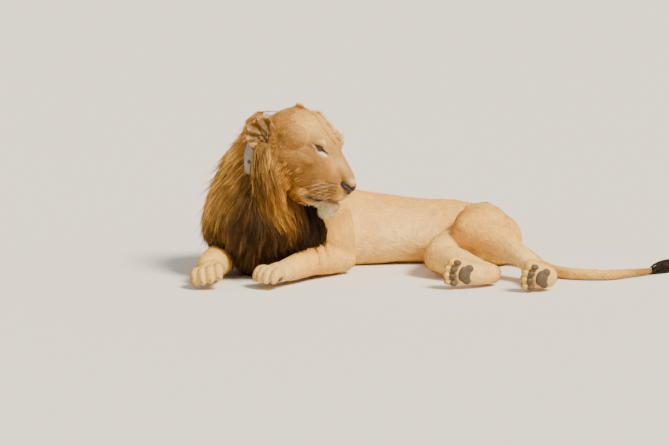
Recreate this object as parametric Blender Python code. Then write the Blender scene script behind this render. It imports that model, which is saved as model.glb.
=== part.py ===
"""A male lion lying at rest, life size: propped on both elbows, rolled on to its right hip, looking back
over its left shoulder. It wears a tracking collar, sunk in the mane.

Metres, +Z up, floor at z = 0. The lion's chest points towards -Y, its rump and tail lie towards +X.
Each limb is lofted from stations, the flesh is fused with a voxel remesh, and then parted with thin cuts.
"""

import math

import bmesh
import bpy
import numpy as np
from mathutils import Matrix, Vector

# ---------------------------------------------------------------- driving dimensions
TRIANGLES = {"flesh": 1750, "head": 880, "mane": 480, "envelope": 260}
VOXEL = {"flesh": 0.010, "head": 0.005, "mane": 0.012, "envelope": 0.014}
SMOOTHING = {"flesh": 6, "head": 12, "mane": 18, "envelope": 10}
CUT_WIDTH = 0.0008
CLEARANCE, MANE_CLEARANCE, TRIM = 0.0014, 0.0030, 0.0003
ENVELOPE_GROWTH = 0.009
SIDES = 20
RINGS_PER_SPAN = 5
SHARP_ANGLE = math.radians(40)
FLOOR_REACH, FLOOR_BLOCK, TINY = 0.009, 5.0, 1e-5

HEAD_ORIGIN = Vector((-0.155, -0.015, 0.462))
HEAD_YAW, HEAD_PITCH, HEAD_ROLL = (math.radians(a) for a in (33.0, 15.0, -4.0))
HEAD_SCALE = 1.06

EYE_RADIUS = 0.0195
EYE_PLACE = Vector((0.0560, 0.1300, 0.0640))
EYE_OUTWARD = Vector((0.62, 0.78, 0.05)).normalized()
SOCKET_RADIUS, SOCKET_REACH = 0.0175, 0.0140
EAR_CENTRE = Vector((0.113, -0.068, 0.048))
EAR_RADII = Vector((0.027, 0.048, 0.064))
EAR_HOLLOW = Vector((0.023, 0.042, 0.057))
EAR_HOLLOW_REACH = 0.012

MOUTH_FRONT, MOUTH_CORNER = (0.262, -0.090), (0.140, -0.113)
JAW_HALF_WIDTH, JAW_DEPTH, MOUTH_GAP = 0.110, 0.090, 0.0012

COLLAR_CENTRE = Vector((-0.235, 0.055, 0.437))
COLLAR_AXIS = Vector((0.83, -0.55, -0.06)).normalized()
COLLAR_RADII = (0.125, 0.128)
COLLAR_WIDTH, COLLAR_THICKNESS = 0.046, 0.005
GROOVE_WIDTH, GROOVE_DEPTH, GROOVE_TURNS = 0.056, 0.060, (30, 122)
UNIT_SIZE = Vector((0.056, 0.048, 0.030))
UNIT_ROUNDING = 0.008
STUD_RADIUS, STUD_THICKNESS, STUD_TURN = 0.007, 0.004, 92


def clear_scene():
    for obj in list(bpy.data.objects):
        bpy.data.objects.remove(obj, do_unlink=True)


# ---------------------------------------------------------------- materials
def material(name, colour, roughness, metallic=0.0):
    made = bpy.data.materials.new(name)
    made.use_nodes = True
    shader = made.node_tree.nodes["Principled BSDF"]
    shader.inputs["Base Color"].default_value = (*colour, 1.0)
    shader.inputs["Roughness"].default_value = roughness
    shader.inputs["Metallic"].default_value = metallic
    return made


# ---------------------------------------------------------------- lofts
DOWN = (0.0, 0.0, -1.0)
BELLY = (0.02, -0.95, -0.30)


def catmull_rom(values, u):
    """The values at stations, read at u stations from the first, as a smooth curve through them."""
    last = len(values) - 1
    i = min(int(u), last - 1)
    t = u - i
    p0, p1, p2, p3 = (np.asarray(values[min(max(k, 0), last)], float) for k in range(i - 1, i + 3))
    return 0.5 * (
        2 * p1 + (p2 - p0) * t + (2 * p0 - 5 * p1 + 4 * p2 - p3) * t**2 + (3 * p1 - p0 - 3 * p2 + p3) * t**3
    )


def ring_points(centre, along, down, across, deep):
    """An oval ring round centre, across wide and deep down, in the plane that along is normal to."""
    side = along.cross(down).normalized()
    down = side.cross(along).normalized()
    turns = [2 * math.pi * k / SIDES for k in range(SIDES)]
    return [centre + side * across * math.cos(a) + down * deep * math.sin(a) for a in turns]


def loft(bm, stations, grow=0.0, level=False):
    """A closed round-ended tube through stations of (centre, half width, half depth, down direction).
    Its rings are square to its path, or level."""
    last = len(stations) - 1
    count = last * RINGS_PER_SPAN
    centres = [s[0] for s in stations]
    sizes = [s[1:3] for s in stations]
    downs = [s[3] for s in stations]
    rings = []
    for k in range(count + 1):
        u = last * k / count
        centre = Vector(catmull_rom(centres, u))
        ahead = Vector(catmull_rom(centres, min(u + 0.05, last)))
        behind = Vector(catmull_rom(centres, max(u - 0.05, 0)))
        along = Vector(DOWN) if level else (ahead - behind).normalized()
        across, deep = catmull_rom(sizes, u) + grow
        rings.append((centre, along, Vector(catmull_rom(downs, u)), across, deep))
    rings = dome(rings[0], -1)[::-1] + rings + dome(rings[-1], 1)
    loops = [[bm.verts.new(p) for p in ring_points(*ring)] for ring in rings]
    for one, two in zip(loops, loops[1:]):
        for k in range(SIDES):
            bm.faces.new((one[k], one[(k + 1) % SIDES], two[(k + 1) % SIDES], two[k]))
    bm.faces.new(loops[0][::-1])
    bm.faces.new(loops[-1])


def dome(ring, way):
    """Shrinking rings that round off a tube beyond its last ring."""
    centre, along, down, across, deep = ring
    caps = []
    for share in (0.35, 0.68, 0.90):
        shrink = math.sqrt(1 - share * share)
        reach = share * min(across, deep) * way
        caps.append((centre + along * reach, along, down, across * shrink, deep * shrink))
    return caps


def ball(bm, centre, radii, turn=None, fineness=3):
    """An oval ball. turn is a 3 by 3 rotation."""
    place = Matrix.Translation(Vector(centre)) @ (turn.to_4x4() if turn else Matrix.Identity(4))
    shape = place @ Matrix.Diagonal((*radii, 1.0))
    bmesh.ops.create_icosphere(bm, subdivisions=fineness, radius=1.0, matrix=shape)


def facing(forward, up):
    """The rotation whose columns are sideways, forward and up."""
    forward = Vector(forward).normalized()
    side = forward.cross(Vector(up)).normalized()
    return Matrix((side, forward, side.cross(forward))).transposed()


# ---------------------------------------------------------------- paws
def paw(bm, knuckles, toes_way, back_way, width, grow=0.0):
    """A paw round its knuckles: four toes along toes_way, pads on the side away from back_way."""
    frame = facing(toes_way, back_way)
    size = width / 0.12
    centre = Vector(knuckles)

    def at(x, y, z):
        return centre + frame @ Vector((x, y, z)) * size

    def sized(*radii):
        return [r * size + grow for r in radii]

    ball(bm, at(0, -0.012, 0.004), sized(0.055, 0.062, 0.040), frame)
    for k in (-1.5, -0.5, 0.5, 1.5):
        reach = 0.076 - 0.008 * abs(k)
        x = 0.0275 * k
        down = tuple(-(frame @ Vector((0, 0, 1))))
        stations = [
            (at(0.022 * k, 0.020, 0.006), 0.0170 * size, 0.022 * size, down),
            (at(x * 0.97, reach - 0.022, 0.012), 0.0155 * size, 0.0205 * size, down),
            (at(x, reach, -0.010), 0.0140 * size, 0.0155 * size, down),
        ]
        loft(bm, stations, grow)
        ball(bm, at(x, reach - 0.014, -0.023), sized(0.0115, 0.0165, 0.0105), frame)
    ball(bm, at(0, -0.004, -0.026), sized(0.034, 0.026, 0.015), frame)


# ---------------------------------------------------------------- the flesh: trunk, limbs, tail
TRUNK = [
    ((-0.235, 0.050, 0.180), 0.112, 0.115, (-0.20, -0.30, -0.93)),
    ((-0.190, 0.160, 0.208), 0.156, 0.182, (-0.12, -0.25, -0.96)),
    ((-0.100, 0.275, 0.172), 0.156, 0.184, (-0.15, -0.60, -0.78)),
    ((0.030, 0.365, 0.138), 0.130, 0.182, (-0.10, -0.82, -0.55)),
    ((0.180, 0.405, 0.122), 0.120, 0.184, (0.0, -0.93, -0.36)),
    ((0.330, 0.405, 0.114), 0.116, 0.168, BELLY),
    ((0.460, 0.390, 0.112), 0.114, 0.156, BELLY),
    ((0.560, 0.360, 0.104), 0.100, 0.140, BELLY),
    ((0.620, 0.330, 0.090), 0.080, 0.105, BELLY),
]
NECK = [
    ((-0.200, 0.190, 0.270), 0.135, 0.150, (-0.2, -0.6, -0.78)),
    ((-0.250, 0.180, 0.345), 0.118, 0.126, (-0.1, -0.9, -0.30)),
    ((-0.262, 0.125, 0.420), 0.112, 0.120, (0.1, -0.8, -0.60)),
    ((-0.228, 0.065, 0.465), 0.106, 0.114, (0.0, -0.4, -0.90)),
]
TAIL = [
    ((0.640, 0.330, 0.070), 0.040, 0.044, DOWN),
    ((0.730, 0.215, 0.041), 0.029, 0.032, DOWN),
    ((0.775, 0.070, 0.028), 0.025, 0.027, DOWN),
    ((0.850, -0.026, 0.024), 0.024, 0.026, DOWN),
    ((0.980, -0.050, 0.022), 0.022, 0.024, DOWN),
    ((1.090, 0.010, 0.019), 0.019, 0.020, DOWN),
    ((1.165, 0.070, 0.016), 0.015, 0.017, DOWN),
]
TUFT = [
    ((1.150, 0.056, 0.016), 0.015, 0.017, DOWN),
    ((1.200, 0.100, 0.022), 0.028, 0.025, DOWN),
    ((1.250, 0.142, 0.024), 0.032, 0.027, DOWN),
    ((1.305, 0.180, 0.017), 0.015, 0.017, DOWN),
]
LEFT_ARM = [
    [
        ((-0.108, 0.150, 0.305), 0.060, 0.082, (0.7, -0.7, 0.0)),
        ((-0.062, 0.020, 0.275), 0.080, 0.098, (0.7, -0.7, 0.1)),
        ((-0.008, 0.045, 0.180), 0.068, 0.092, (0.8, 0.6, 0.0)),
        ((0.025, 0.085, 0.075), 0.052, 0.066, (0.8, 0.6, 0.0)),
    ],
    [
        ((0.030, 0.092, 0.060), 0.056, 0.058, DOWN),
        ((-0.050, 0.005, 0.072), 0.058, 0.066, DOWN),
        ((-0.125, -0.085, 0.062), 0.050, 0.054, DOWN),
        ((-0.170, -0.140, 0.054), 0.054, 0.046, DOWN),
    ],
]
RIGHT_ARM = [
    [
        ((-0.290, 0.190, 0.300), 0.060, 0.080, (-0.8, -0.5, 0.0)),
        ((-0.355, 0.080, 0.265), 0.080, 0.098, (-0.8, -0.5, 0.1)),
        ((-0.375, 0.140, 0.170), 0.068, 0.090, (-0.3, 0.9, 0.0)),
        ((-0.375, 0.215, 0.085), 0.052, 0.064, (-0.2, 0.9, 0.0)),
    ],
    [
        ((-0.375, 0.215, 0.070), 0.056, 0.060, DOWN),
        ((-0.402, 0.090, 0.070), 0.060, 0.066, DOWN),
        ((-0.430, -0.040, 0.066), 0.058, 0.062, DOWN),
        ((-0.440, -0.120, 0.066), 0.062, 0.054, DOWN),
    ],
]
LEFT_HIND = [
    [
        ((0.565, 0.330, 0.118), 0.100, 0.095, DOWN),
        ((0.555, 0.220, 0.152), 0.110, 0.092, DOWN),
        ((0.515, 0.110, 0.170), 0.090, 0.076, DOWN),
        ((0.490, 0.060, 0.168), 0.062, 0.058, DOWN),
    ],
    [
        ((0.490, 0.060, 0.165), 0.060, 0.058, (0.2, 1.0, 0.0)),
        ((0.580, 0.030, 0.140), 0.066, 0.070, (0.2, 1.0, 0.0)),
        ((0.665, -0.040, 0.095), 0.046, 0.048, (0.2, 1.0, 0.0)),
        ((0.705, -0.085, 0.064), 0.040, 0.046, (0.4, 0.9, 0.0)),
    ],
    [
        ((0.705, -0.075, 0.060), 0.038, 0.046, DOWN),
        ((0.722, -0.150, 0.054), 0.037, 0.042, DOWN),
        ((0.738, -0.225, 0.052), 0.042, 0.044, DOWN),
    ],
]
RIGHT_HIND = [
    [
        ((0.530, 0.330, 0.090), 0.100, 0.088, DOWN),
        ((0.470, 0.190, 0.088), 0.095, 0.085, DOWN),
        ((0.400, 0.060, 0.082), 0.072, 0.072, DOWN),
        ((0.378, 0.020, 0.076), 0.058, 0.062, DOWN),
    ],
    [
        ((0.378, 0.020, 0.072), 0.058, 0.060, DOWN),
        ((0.440, -0.040, 0.066), 0.058, 0.060, DOWN),
        ((0.520, -0.105, 0.050), 0.042, 0.044, DOWN),
        ((0.558, -0.150, 0.044), 0.036, 0.042, DOWN),
    ],
    [
        ((0.566, -0.155, 0.044), 0.036, 0.042, DOWN),
        ((0.530, -0.190, 0.046), 0.035, 0.043, DOWN),
        ((0.492, -0.212, 0.050), 0.037, 0.046, DOWN),
    ],
]
PAWS = {
    "left_fore": ((-0.205, -0.184, 0.048), (-0.66, -0.75, -0.05), (-0.05, 0.0, 1.0), 0.136),
    "right_fore": ((-0.444, -0.180, 0.052), (-0.12, -0.98, -0.10), (-0.25, -0.05, 0.96), 0.138),
    "left_hind": ((0.722, -0.278, 0.054), (-0.92, -0.30, 0.12), (-0.30, 0.93, 0.15), 0.116),
    "right_hind": ((0.456, -0.224, 0.058), (-0.93, -0.22, 0.15), (-0.20, 0.95, 0.10), 0.116),
}
LIMBS = {"left_fore": LEFT_ARM, "right_fore": RIGHT_ARM, "left_hind": LEFT_HIND, "right_hind": RIGHT_HIND}
MUSCLES = [
    ((0.010, 0.095, 0.160), (0.058, 0.075, 0.085)),
    ((-0.365, 0.190, 0.155), (0.060, 0.080, 0.085)),
    ((0.606, 0.292, 0.098), (0.106, 0.118, 0.104)),
]


def limb_form(bm, name, grow=0.0):
    for stations in LIMBS[name]:
        loft(bm, stations, grow)
    paw(bm, *PAWS[name], grow)


def flesh_form(bm):
    for stations in (TRUNK, NECK, TAIL, TUFT):
        loft(bm, stations)
    for centre, radii in MUSCLES:
        ball(bm, centre, radii)
    for name in LIMBS:
        limb_form(bm, name)


# ---------------------------------------------------------------- the head, in its own frame
def head_matrix():
    """The lion's right, forward and up as columns, at the head's place between the ears."""
    level = math.cos(HEAD_PITCH)
    forward = Vector((math.cos(HEAD_YAW) * level, -math.sin(HEAD_YAW) * level, -math.sin(HEAD_PITCH)))
    up = forward.cross(Vector((0, 0, 1)).cross(forward)).normalized()
    up = Matrix.Rotation(HEAD_ROLL, 3, forward) @ up
    turn = Matrix((up.cross(forward) * -1, forward, up)).transposed().to_4x4()
    return Matrix.Translation(HEAD_ORIGIN) @ turn @ Matrix.Scale(HEAD_SCALE, 4)


SKULL = [
    (-0.095, 0.000, 0.068, 0.066),
    (-0.062, 0.012, 0.098, 0.106),
    (-0.015, 0.016, 0.118, 0.142),
    (0.040, 0.008, 0.120, 0.138),
    (0.095, -0.006, 0.104, 0.124),
    (0.135, -0.020, 0.080, 0.104),
    (0.170, -0.036, 0.062, 0.086),
    (0.200, -0.048, 0.050, 0.070),
    (0.222, -0.058, 0.036, 0.048),
]
HEAD_LUMPS = [
    ((0.000, 0.246, -0.028), (0.026, 0.031, 0.028)),
    ((0.000, 0.198, -0.120), (0.034, 0.034, 0.028)),
    ((0.000, 0.020, 0.100), (0.070, 0.090, 0.062)),
    ((0.000, 0.120, 0.048), (0.040, 0.070, 0.034)),
    ((0.000, 0.200, 0.000), (0.028, 0.060, 0.026)),
]
HEAD_SIDE_LUMPS = [
    ((0.080, 0.055, -0.004), (0.046, 0.080, 0.062)),
    ((0.072, 0.000, -0.064), (0.060, 0.085, 0.074)),
    ((0.029, 0.196, -0.070), (0.032, 0.045, 0.038)),
    ((0.032, 0.155, -0.074), (0.040, 0.066, 0.048)),
    ((0.048, 0.110, 0.088), (0.036, 0.038, 0.020)),
]
RUFF = [
    ((0.100, -0.040, 0.005), 0.034, 0.050, (0, 1, 0)),
    ((0.112, -0.015, -0.065), 0.036, 0.062, (0, 1, 0)),
    ((0.098, 0.030, -0.140), 0.032, 0.056, (0, 1, 0)),
    ((0.064, 0.080, -0.205), 0.014, 0.020, (0, 1, 0)),
]
THROAT = ((0.000, 0.070, -0.130), (0.074, 0.085, 0.052))


def mirrored(centre, side):
    return (centre[0] * side, *centre[1:])


def head_form(bm):
    """The head with its short coat: skull, cheeks, jaws and muzzle, nose towards +Y."""
    loft(bm, [((0, y, z), across, deep, DOWN) for y, z, across, deep in SKULL])
    for centre, radii in HEAD_LUMPS:
        ball(bm, centre, radii)
    for side in (-1, 1):
        for centre, radii in HEAD_SIDE_LUMPS:
            ball(bm, mirrored(centre, side), radii)


def ear_turn(side):
    """Each ear leans outwards and its opening faces forwards and out."""
    return Matrix.Rotation(side * math.radians(18), 3, "Y") @ Matrix.Rotation(side * math.radians(40), 3, "Z")


# ---------------------------------------------------------------- the mane, to the tips of its hair
MANE = [
    ((-0.238, 0.125, 0.500), 0.112, 0.124, (0.0, -1.0, 0.0)),
    ((-0.250, 0.132, 0.425), 0.164, 0.172, (0.0, -1.0, 0.0)),
    ((-0.236, 0.120, 0.350), 0.208, 0.204, (0.0, -1.0, 0.0)),
    ((-0.230, 0.090, 0.270), 0.244, 0.220, (0.0, -1.0, 0.0)),
    ((-0.234, 0.065, 0.190), 0.254, 0.212, (0.0, -1.0, 0.0)),
    ((-0.244, 0.030, 0.125), 0.230, 0.168, (0.0, -1.0, 0.0)),
    ((-0.255, -0.010, 0.085), 0.165, 0.110, (0.0, -1.0, 0.0)),
]
WITHERS = ((-0.200, 0.200, 0.330), (0.170, 0.175, 0.120))


def mane_form(bm):
    loft(bm, MANE, level=True)
    ball(bm, *WITHERS)
    own = bmesh.new()
    for side in (-1, 1):
        loft(own, [(mirrored(centre, side), *rest) for centre, *rest in RUFF])
    ball(own, *THROAT)
    own.transform(head_matrix())
    ruff = bpy.data.meshes.new("ruff")
    own.to_mesh(ruff)
    own.free()
    bm.from_mesh(ruff)
    bpy.data.meshes.remove(ruff)


# ---------------------------------------------------------------- from forms to solids
def evaluated_mesh(obj):
    graph = bpy.context.evaluated_depsgraph_get()
    mesh = bpy.data.meshes.new_from_object(obj.evaluated_get(graph))
    bpy.data.objects.remove(obj)
    return mesh


def link(name, mesh):
    obj = bpy.data.objects.new(name, mesh)
    bpy.context.scene.collection.objects.link(obj)
    return obj


def fused(name, kind, form, place=None):
    """The form's overlapping shapes as one smooth skin."""
    bm = bmesh.new()
    form(bm)
    bmesh.ops.recalc_face_normals(bm, faces=bm.faces)
    mesh = bpy.data.meshes.new(name)
    bm.to_mesh(mesh)
    bm.free()
    if place:
        mesh.transform(place)
    obj = link(name, mesh)
    remesh = obj.modifiers.new("fuse", "REMESH")
    remesh.mode = "VOXEL"
    remesh.voxel_size = VOXEL[kind]
    smooth = obj.modifiers.new("relax", "SMOOTH")
    smooth.factor = 0.5
    smooth.iterations = SMOOTHING[kind]
    mesh = evaluated_mesh(obj)
    mesh.calc_loop_triangles()
    obj = link(name, mesh)
    fewer = obj.modifiers.new("fewer", "DECIMATE")
    fewer.ratio = TRIANGLES[kind] / len(mesh.loop_triangles)
    return link(name, evaluated_mesh(obj))


def boolean(obj, cutter, operation):
    cutter.hide_render = True
    cutter.display_type = "WIRE"
    tool = obj.modifiers.new("cut", "BOOLEAN")
    tool.operation = operation
    tool.object = cutter
    tool.solver = "MANIFOLD"  # EXACT loses bodies of these fused meshes
    name = obj.name
    return link(name, evaluated_mesh(obj))


def cut_away(obj, cutters):
    for cutter in cutters:
        obj = boolean(obj, cutter, "DIFFERENCE")
    return obj


def rested(obj):
    """obj with whatever comes near the floor resting on it, flat."""
    bm = bmesh.new()
    bmesh.ops.create_cube(bm, size=FLOOR_BLOCK)
    block = bpy.data.meshes.new("block")
    bm.to_mesh(block)
    bm.free()
    block.transform(Matrix.Translation((0, 0, FLOOR_REACH - FLOOR_BLOCK / 2)))
    obj = cut_away(obj, [link("block", block)])
    for vertex in obj.data.vertices:
        if vertex.co.z < FLOOR_REACH + TINY:
            vertex.co.z = 0.0
    bpy.data.objects.remove(bpy.data.objects["block"])
    return obj


def copy_of(obj, grow=0.0):
    """A copy whose surface stands off the original's by grow."""
    mesh = obj.data.copy()
    mesh.update()
    points = [v.co + v.normal * grow for v in mesh.vertices]
    for vertex, point in zip(mesh.vertices, points):
        vertex.co = point
    return link("copy", mesh)


def clear_of(obj, *others, gap=CLEARANCE):
    """obj with a thin gap cut round the others."""
    for other in others:
        cutter = copy_of(other, gap)
        obj = boolean(obj, cutter, "DIFFERENCE")
        bpy.data.objects.remove(cutter)
    return obj


def trimmed(obj, others):
    """obj without what little a sharp crease of the gap left inside the others."""
    for gap in (TRIM, 0.0):
        obj = clear_of(obj, *others, gap=gap)
    return largest(obj)


def slab(centre, normal, radius):
    """A thin disc to part a limb with."""
    bm = bmesh.new()
    turn = Vector(normal).to_track_quat("Z", "Y").to_matrix().to_4x4()
    bmesh.ops.create_cone(
        bm,
        cap_ends=True,
        segments=32,
        radius1=radius,
        radius2=radius,
        depth=CUT_WIDTH,
        matrix=Matrix.Translation(Vector(centre)) @ turn,
    )
    mesh = bpy.data.meshes.new("slab")
    bm.to_mesh(mesh)
    bm.free()
    return link("slab", mesh)


def loose_bodies(obj):
    """The separate closed bodies of a mesh, each as its own object, the original gone."""
    bm = bmesh.new()
    bm.from_mesh(obj.data)
    unseen = set(bm.verts)
    bodies = []
    while unseen:
        front = [unseen.pop()]
        body = set(front)
        while front:
            for edge in front.pop().link_edges:
                for vertex in edge.verts:
                    if vertex in unseen:
                        unseen.discard(vertex)
                        body.add(vertex)
                        front.append(vertex)
        bodies.append(body)
    found = []
    for body in bodies:
        piece = bm.copy()
        kept = {v.index for v in body}
        bmesh.ops.delete(piece, geom=[v for v in piece.verts if v.index not in kept], context="VERTS")
        mesh = bpy.data.meshes.new("body")
        piece.to_mesh(mesh)
        volume = piece.calc_volume()
        piece.free()
        found.append((volume, link("body", mesh)))
    bm.free()
    bpy.data.objects.remove(obj)
    return found


def middle(obj):
    corners = [Vector(c) for c in obj.bound_box]
    return sum(corners, Vector()) / 8


def largest(obj):
    """obj without the crumbs that a cut left."""
    name = obj.name
    bodies = sorted(loose_bodies(obj), key=lambda found: found[0])
    kept = bodies.pop()[1]
    for _, crumb in bodies:
        bpy.data.objects.remove(crumb)
    kept.name = name
    return kept


def parted(obj, cuts, seeds):
    """obj cut by thin discs. The bodies take the name of the seed nearest to them; crumbs go."""
    for centre, normal, radius in cuts:
        cutter = slab(centre, normal, radius)
        obj = boolean(obj, cutter, "DIFFERENCE")
        bpy.data.objects.remove(cutter)
    bodies = sorted(loose_bodies(obj), key=lambda found: -found[0])
    named = {}
    for _, body in bodies:
        free = [name for name in seeds if name not in named]
        if not free:
            bpy.data.objects.remove(body)
            continue
        best = min(free, key=lambda name: (Vector(seeds[name]) - middle(body)).length)
        body.name = best
        named[best] = body
    return named


LIMB_CUTS = {
    "left_fore": (
        [((0.020, 0.080, 0.085), (0.36, 0.38, 0.84), 0.26), ((-0.142, -0.106, 0.060), (0.64, 0.77, 0.05), 0.12)],
        {
            "left_upper_arm": (-0.03, 0.06, 0.23),
            "left_forearm": (-0.05, 0.01, 0.07),
            "left_forepaw": (-0.22, -0.20, 0.05),
        },
    ),
    "right_fore": (
        [((-0.378, 0.200, 0.095), (0.1, 0.43, 0.89), 0.34), ((-0.436, -0.085, 0.070), (-0.12, -0.99, -0.1), 0.13)],
        {
            "right_upper_arm": (-0.34, 0.12, 0.24),
            "right_forearm": (-0.40, 0.08, 0.08),
            "right_forepaw": (-0.44, -0.18, 0.05),
        },
    ),
    "left_hind": (
        [
            ((0.502, 0.068, 0.165), (-0.34, 0.92, 0.17), 0.24),
            ((0.698, -0.078, 0.078), (0.5, -0.80, -0.33), 0.12),
            ((0.734, -0.205, 0.060), (0.15, -0.98, -0.05), 0.10),
        ],
        {
            "left_thigh": (0.54, 0.22, 0.15),
            "left_shank": (0.60, 0.01, 0.13),
            "left_hind_foot": (0.72, -0.14, 0.065),
            "left_hind_paw": (0.72, -0.28, 0.06),
        },
    ),
    "right_hind": (
        [
            ((0.400, 0.040, 0.078), (-0.15, -0.98, 0.0), 0.22),
            ((0.560, -0.150, 0.046), (0.20, 0.98, 0.0), 0.22),
            ((0.480, -0.214, 0.050), (-0.95, -0.30, 0.0), 0.088),
        ],
        {
            "right_thigh": (0.46, 0.20, 0.09),
            "right_shank": (0.45, -0.05, 0.06),
            "right_hind_foot": (0.54, -0.19, 0.045),
            "right_hind_paw": (0.42, -0.22, 0.06),
        },
    ),
}
TRUNK_CUTS = [
    ((-0.235, 0.165, 0.345), (-0.3, -0.25, 0.92), 0.30),
    ((0.000, 0.350, 0.150), (0.85, 0.50, 0.0), 0.35),
    ((0.430, 0.390, 0.120), (1.0, -0.15, 0.0), 0.35),
    ((0.722, 0.250, 0.050), (0.65, -0.76, -0.1), 0.065),
    ((0.850, -0.020, 0.024), (0.8, -0.6, 0.0), 0.06),
    ((1.040, -0.018, 0.020), (0.9, 0.45, 0.0), 0.06),
    ((1.168, 0.072, 0.016), (0.75, 0.66, 0.0), 0.06),
]
TRUNK_SEEDS = {
    "neck": (-0.24, 0.11, 0.45),
    "chest": (-0.15, 0.18, 0.20),
    "abdomen": (0.22, 0.40, 0.12),
    "rump": (0.57, 0.36, 0.11),
    "tail_base": (0.76, 0.13, 0.04),
    "tail_middle": (0.95, -0.04, 0.02),
    "tail_end": (1.11, 0.03, 0.02),
    "tail_tuft": (1.25, 0.14, 0.02),
}


def flesh_nodes(flesh):
    """The limbs, and the trunk with the tail, as named closed solids parted by thin cuts."""
    nodes = {}
    envelopes = []
    for name in LIMBS:
        envelope = fused("envelope", "envelope", lambda bm: limb_form(bm, name, ENVELOPE_GROWTH))
        limb = boolean(copy_of(flesh), envelope, "INTERSECT")
        limb = largest(clear_of(limb, *envelopes))
        nodes.update(parted(limb, *LIMB_CUTS[name]))
        envelopes.append(envelope)
    trunk = clear_of(copy_of(flesh), *envelopes)
    for envelope in envelopes:
        bpy.data.objects.remove(envelope)
    return nodes, parted(trunk, TRUNK_CUTS, TRUNK_SEEDS)


# ---------------------------------------------------------------- the head's own solids
SIDES_OF_HEAD = ((1, "right"), (-1, "left"))


def scaled_ball(name, centre, radii, place, turn=None, fineness=3):
    bm = bmesh.new()
    ball(bm, centre, radii, turn, fineness)
    mesh = bpy.data.meshes.new(name)
    bm.to_mesh(mesh)
    bm.free()
    mesh.transform(place)
    return link(name, mesh)


def ear(name, side, place):
    """A cup: an oval ball hollowed from the side that it faces."""
    turn = ear_turn(side)
    centre = Vector(mirrored(EAR_CENTRE, side))
    outer = scaled_ball(name, centre, EAR_RADII, place, turn)
    opening = turn @ Vector((side * EAR_HOLLOW_REACH, 0.0, 0.004))
    hollow = scaled_ball("hollow", centre + opening, EAR_HOLLOW, place, turn, 2)
    cup = boolean(outer, hollow, "DIFFERENCE")
    bpy.data.objects.remove(hollow)
    return cup


def jaw_block(name, place, gap):
    """What lies under the line of the mouth, in front of its corners, less gap all round."""
    (front, front_z), (back, back_z) = MOUTH_FRONT, MOUTH_CORNER
    ahead = front + 0.06
    slope = (front_z - back_z) / (front - back)
    back += gap
    profile = [
        (back, back_z - gap),
        (ahead, front_z - gap + slope * (ahead - front)),
        (ahead, front_z - JAW_DEPTH),
        (back, back_z - JAW_DEPTH),
    ]
    bm = bmesh.new()
    ends = [[bm.verts.new((x, y, z)) for y, z in profile] for x in (-JAW_HALF_WIDTH, JAW_HALF_WIDTH)]
    bm.faces.new(ends[0])
    bm.faces.new(ends[1][::-1])
    for k in range(4):
        bm.faces.new((ends[0][k], ends[0][k - 1], ends[1][k - 1], ends[1][k]))
    bmesh.ops.recalc_face_normals(bm, faces=bm.faces)
    mesh = bpy.data.meshes.new(name)
    bm.to_mesh(mesh)
    bm.free()
    mesh.transform(place)
    return link(name, mesh)


def head_nodes(head, place, strap):
    """Head, jaw, ears and eyes as named closed solids."""
    nodes = {}
    for side, word in SIDES_OF_HEAD:
        radii = [EYE_RADIUS / HEAD_SCALE] * 3
        centre = Vector(mirrored(EYE_PLACE, side))
        outward = Vector(mirrored(EYE_OUTWARD, side))
        eye = scaled_ball(f"{word}_eye", centre, radii, place, None, 2)
        socket = scaled_ball("socket", centre + outward * SOCKET_REACH, [SOCKET_RADIUS] * 3, place, None, 2)
        head = clear_of(boolean(head, socket, "DIFFERENCE"), eye)
        bpy.data.objects.remove(socket)
        nodes[eye.name] = eye
    head = largest(head)
    block = jaw_block("block", place, MOUTH_GAP)
    nodes["lower_jaw"] = largest(boolean(copy_of(head), block, "INTERSECT"))
    bpy.data.objects.remove(block)
    block = jaw_block("block", place, 0.0)
    nodes["head"] = largest(boolean(head, block, "DIFFERENCE"))
    bpy.data.objects.remove(block)
    for side, word in SIDES_OF_HEAD:
        nodes[f"{word}_ear"] = largest(clear_of(ear(f"{word}_ear", side, place), nodes["head"], strap))
    return nodes


# ---------------------------------------------------------------- the collar
def collar_frame(turn):
    """The outward, round and along directions of the collar, turn degrees round from its top."""
    up = (Vector((0, 0, 1)) - COLLAR_AXIS * COLLAR_AXIS.z).normalized()
    side = COLLAR_AXIS.cross(up)
    a = math.radians(turn)
    out = up * math.cos(a) + side * math.sin(a)
    return out, COLLAR_AXIS.cross(out), COLLAR_AXIS


def collar_point(turn, away, along):
    out, _, axis = collar_frame(turn)
    a = math.radians(turn)
    radius = math.hypot(COLLAR_RADII[1] * math.cos(a), COLLAR_RADII[0] * math.sin(a))
    return COLLAR_CENTRE + out * (radius + away) + axis * along


def band(name, low, high, width, turns=None):
    """A ring round the neck between two heights over the collar's own radii, whole or over some turns."""
    start, stop = turns or (0, 360)
    steps = 36
    count = steps if not turns else steps + 1
    bm = bmesh.new()
    rings = []
    for k in range(count):
        turn = start + (stop - start) * k / steps
        corners = ((low, -width / 2), (high, -width / 2), (high, width / 2), (low, width / 2))
        rings.append([bm.verts.new(collar_point(turn, *corner)) for corner in corners])
    for k in range(steps):
        one, two = rings[k], rings[(k + 1) % count]
        for c in range(4):
            bm.faces.new((one[c], one[c - 1], two[c - 1], two[c]))
    if turns:
        bm.faces.new(rings[0])
        bm.faces.new(rings[-1][::-1])
    bmesh.ops.recalc_face_normals(bm, faces=bm.faces)
    mesh = bpy.data.meshes.new(name)
    bm.to_mesh(mesh)
    bm.free()
    return link(name, mesh)


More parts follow.
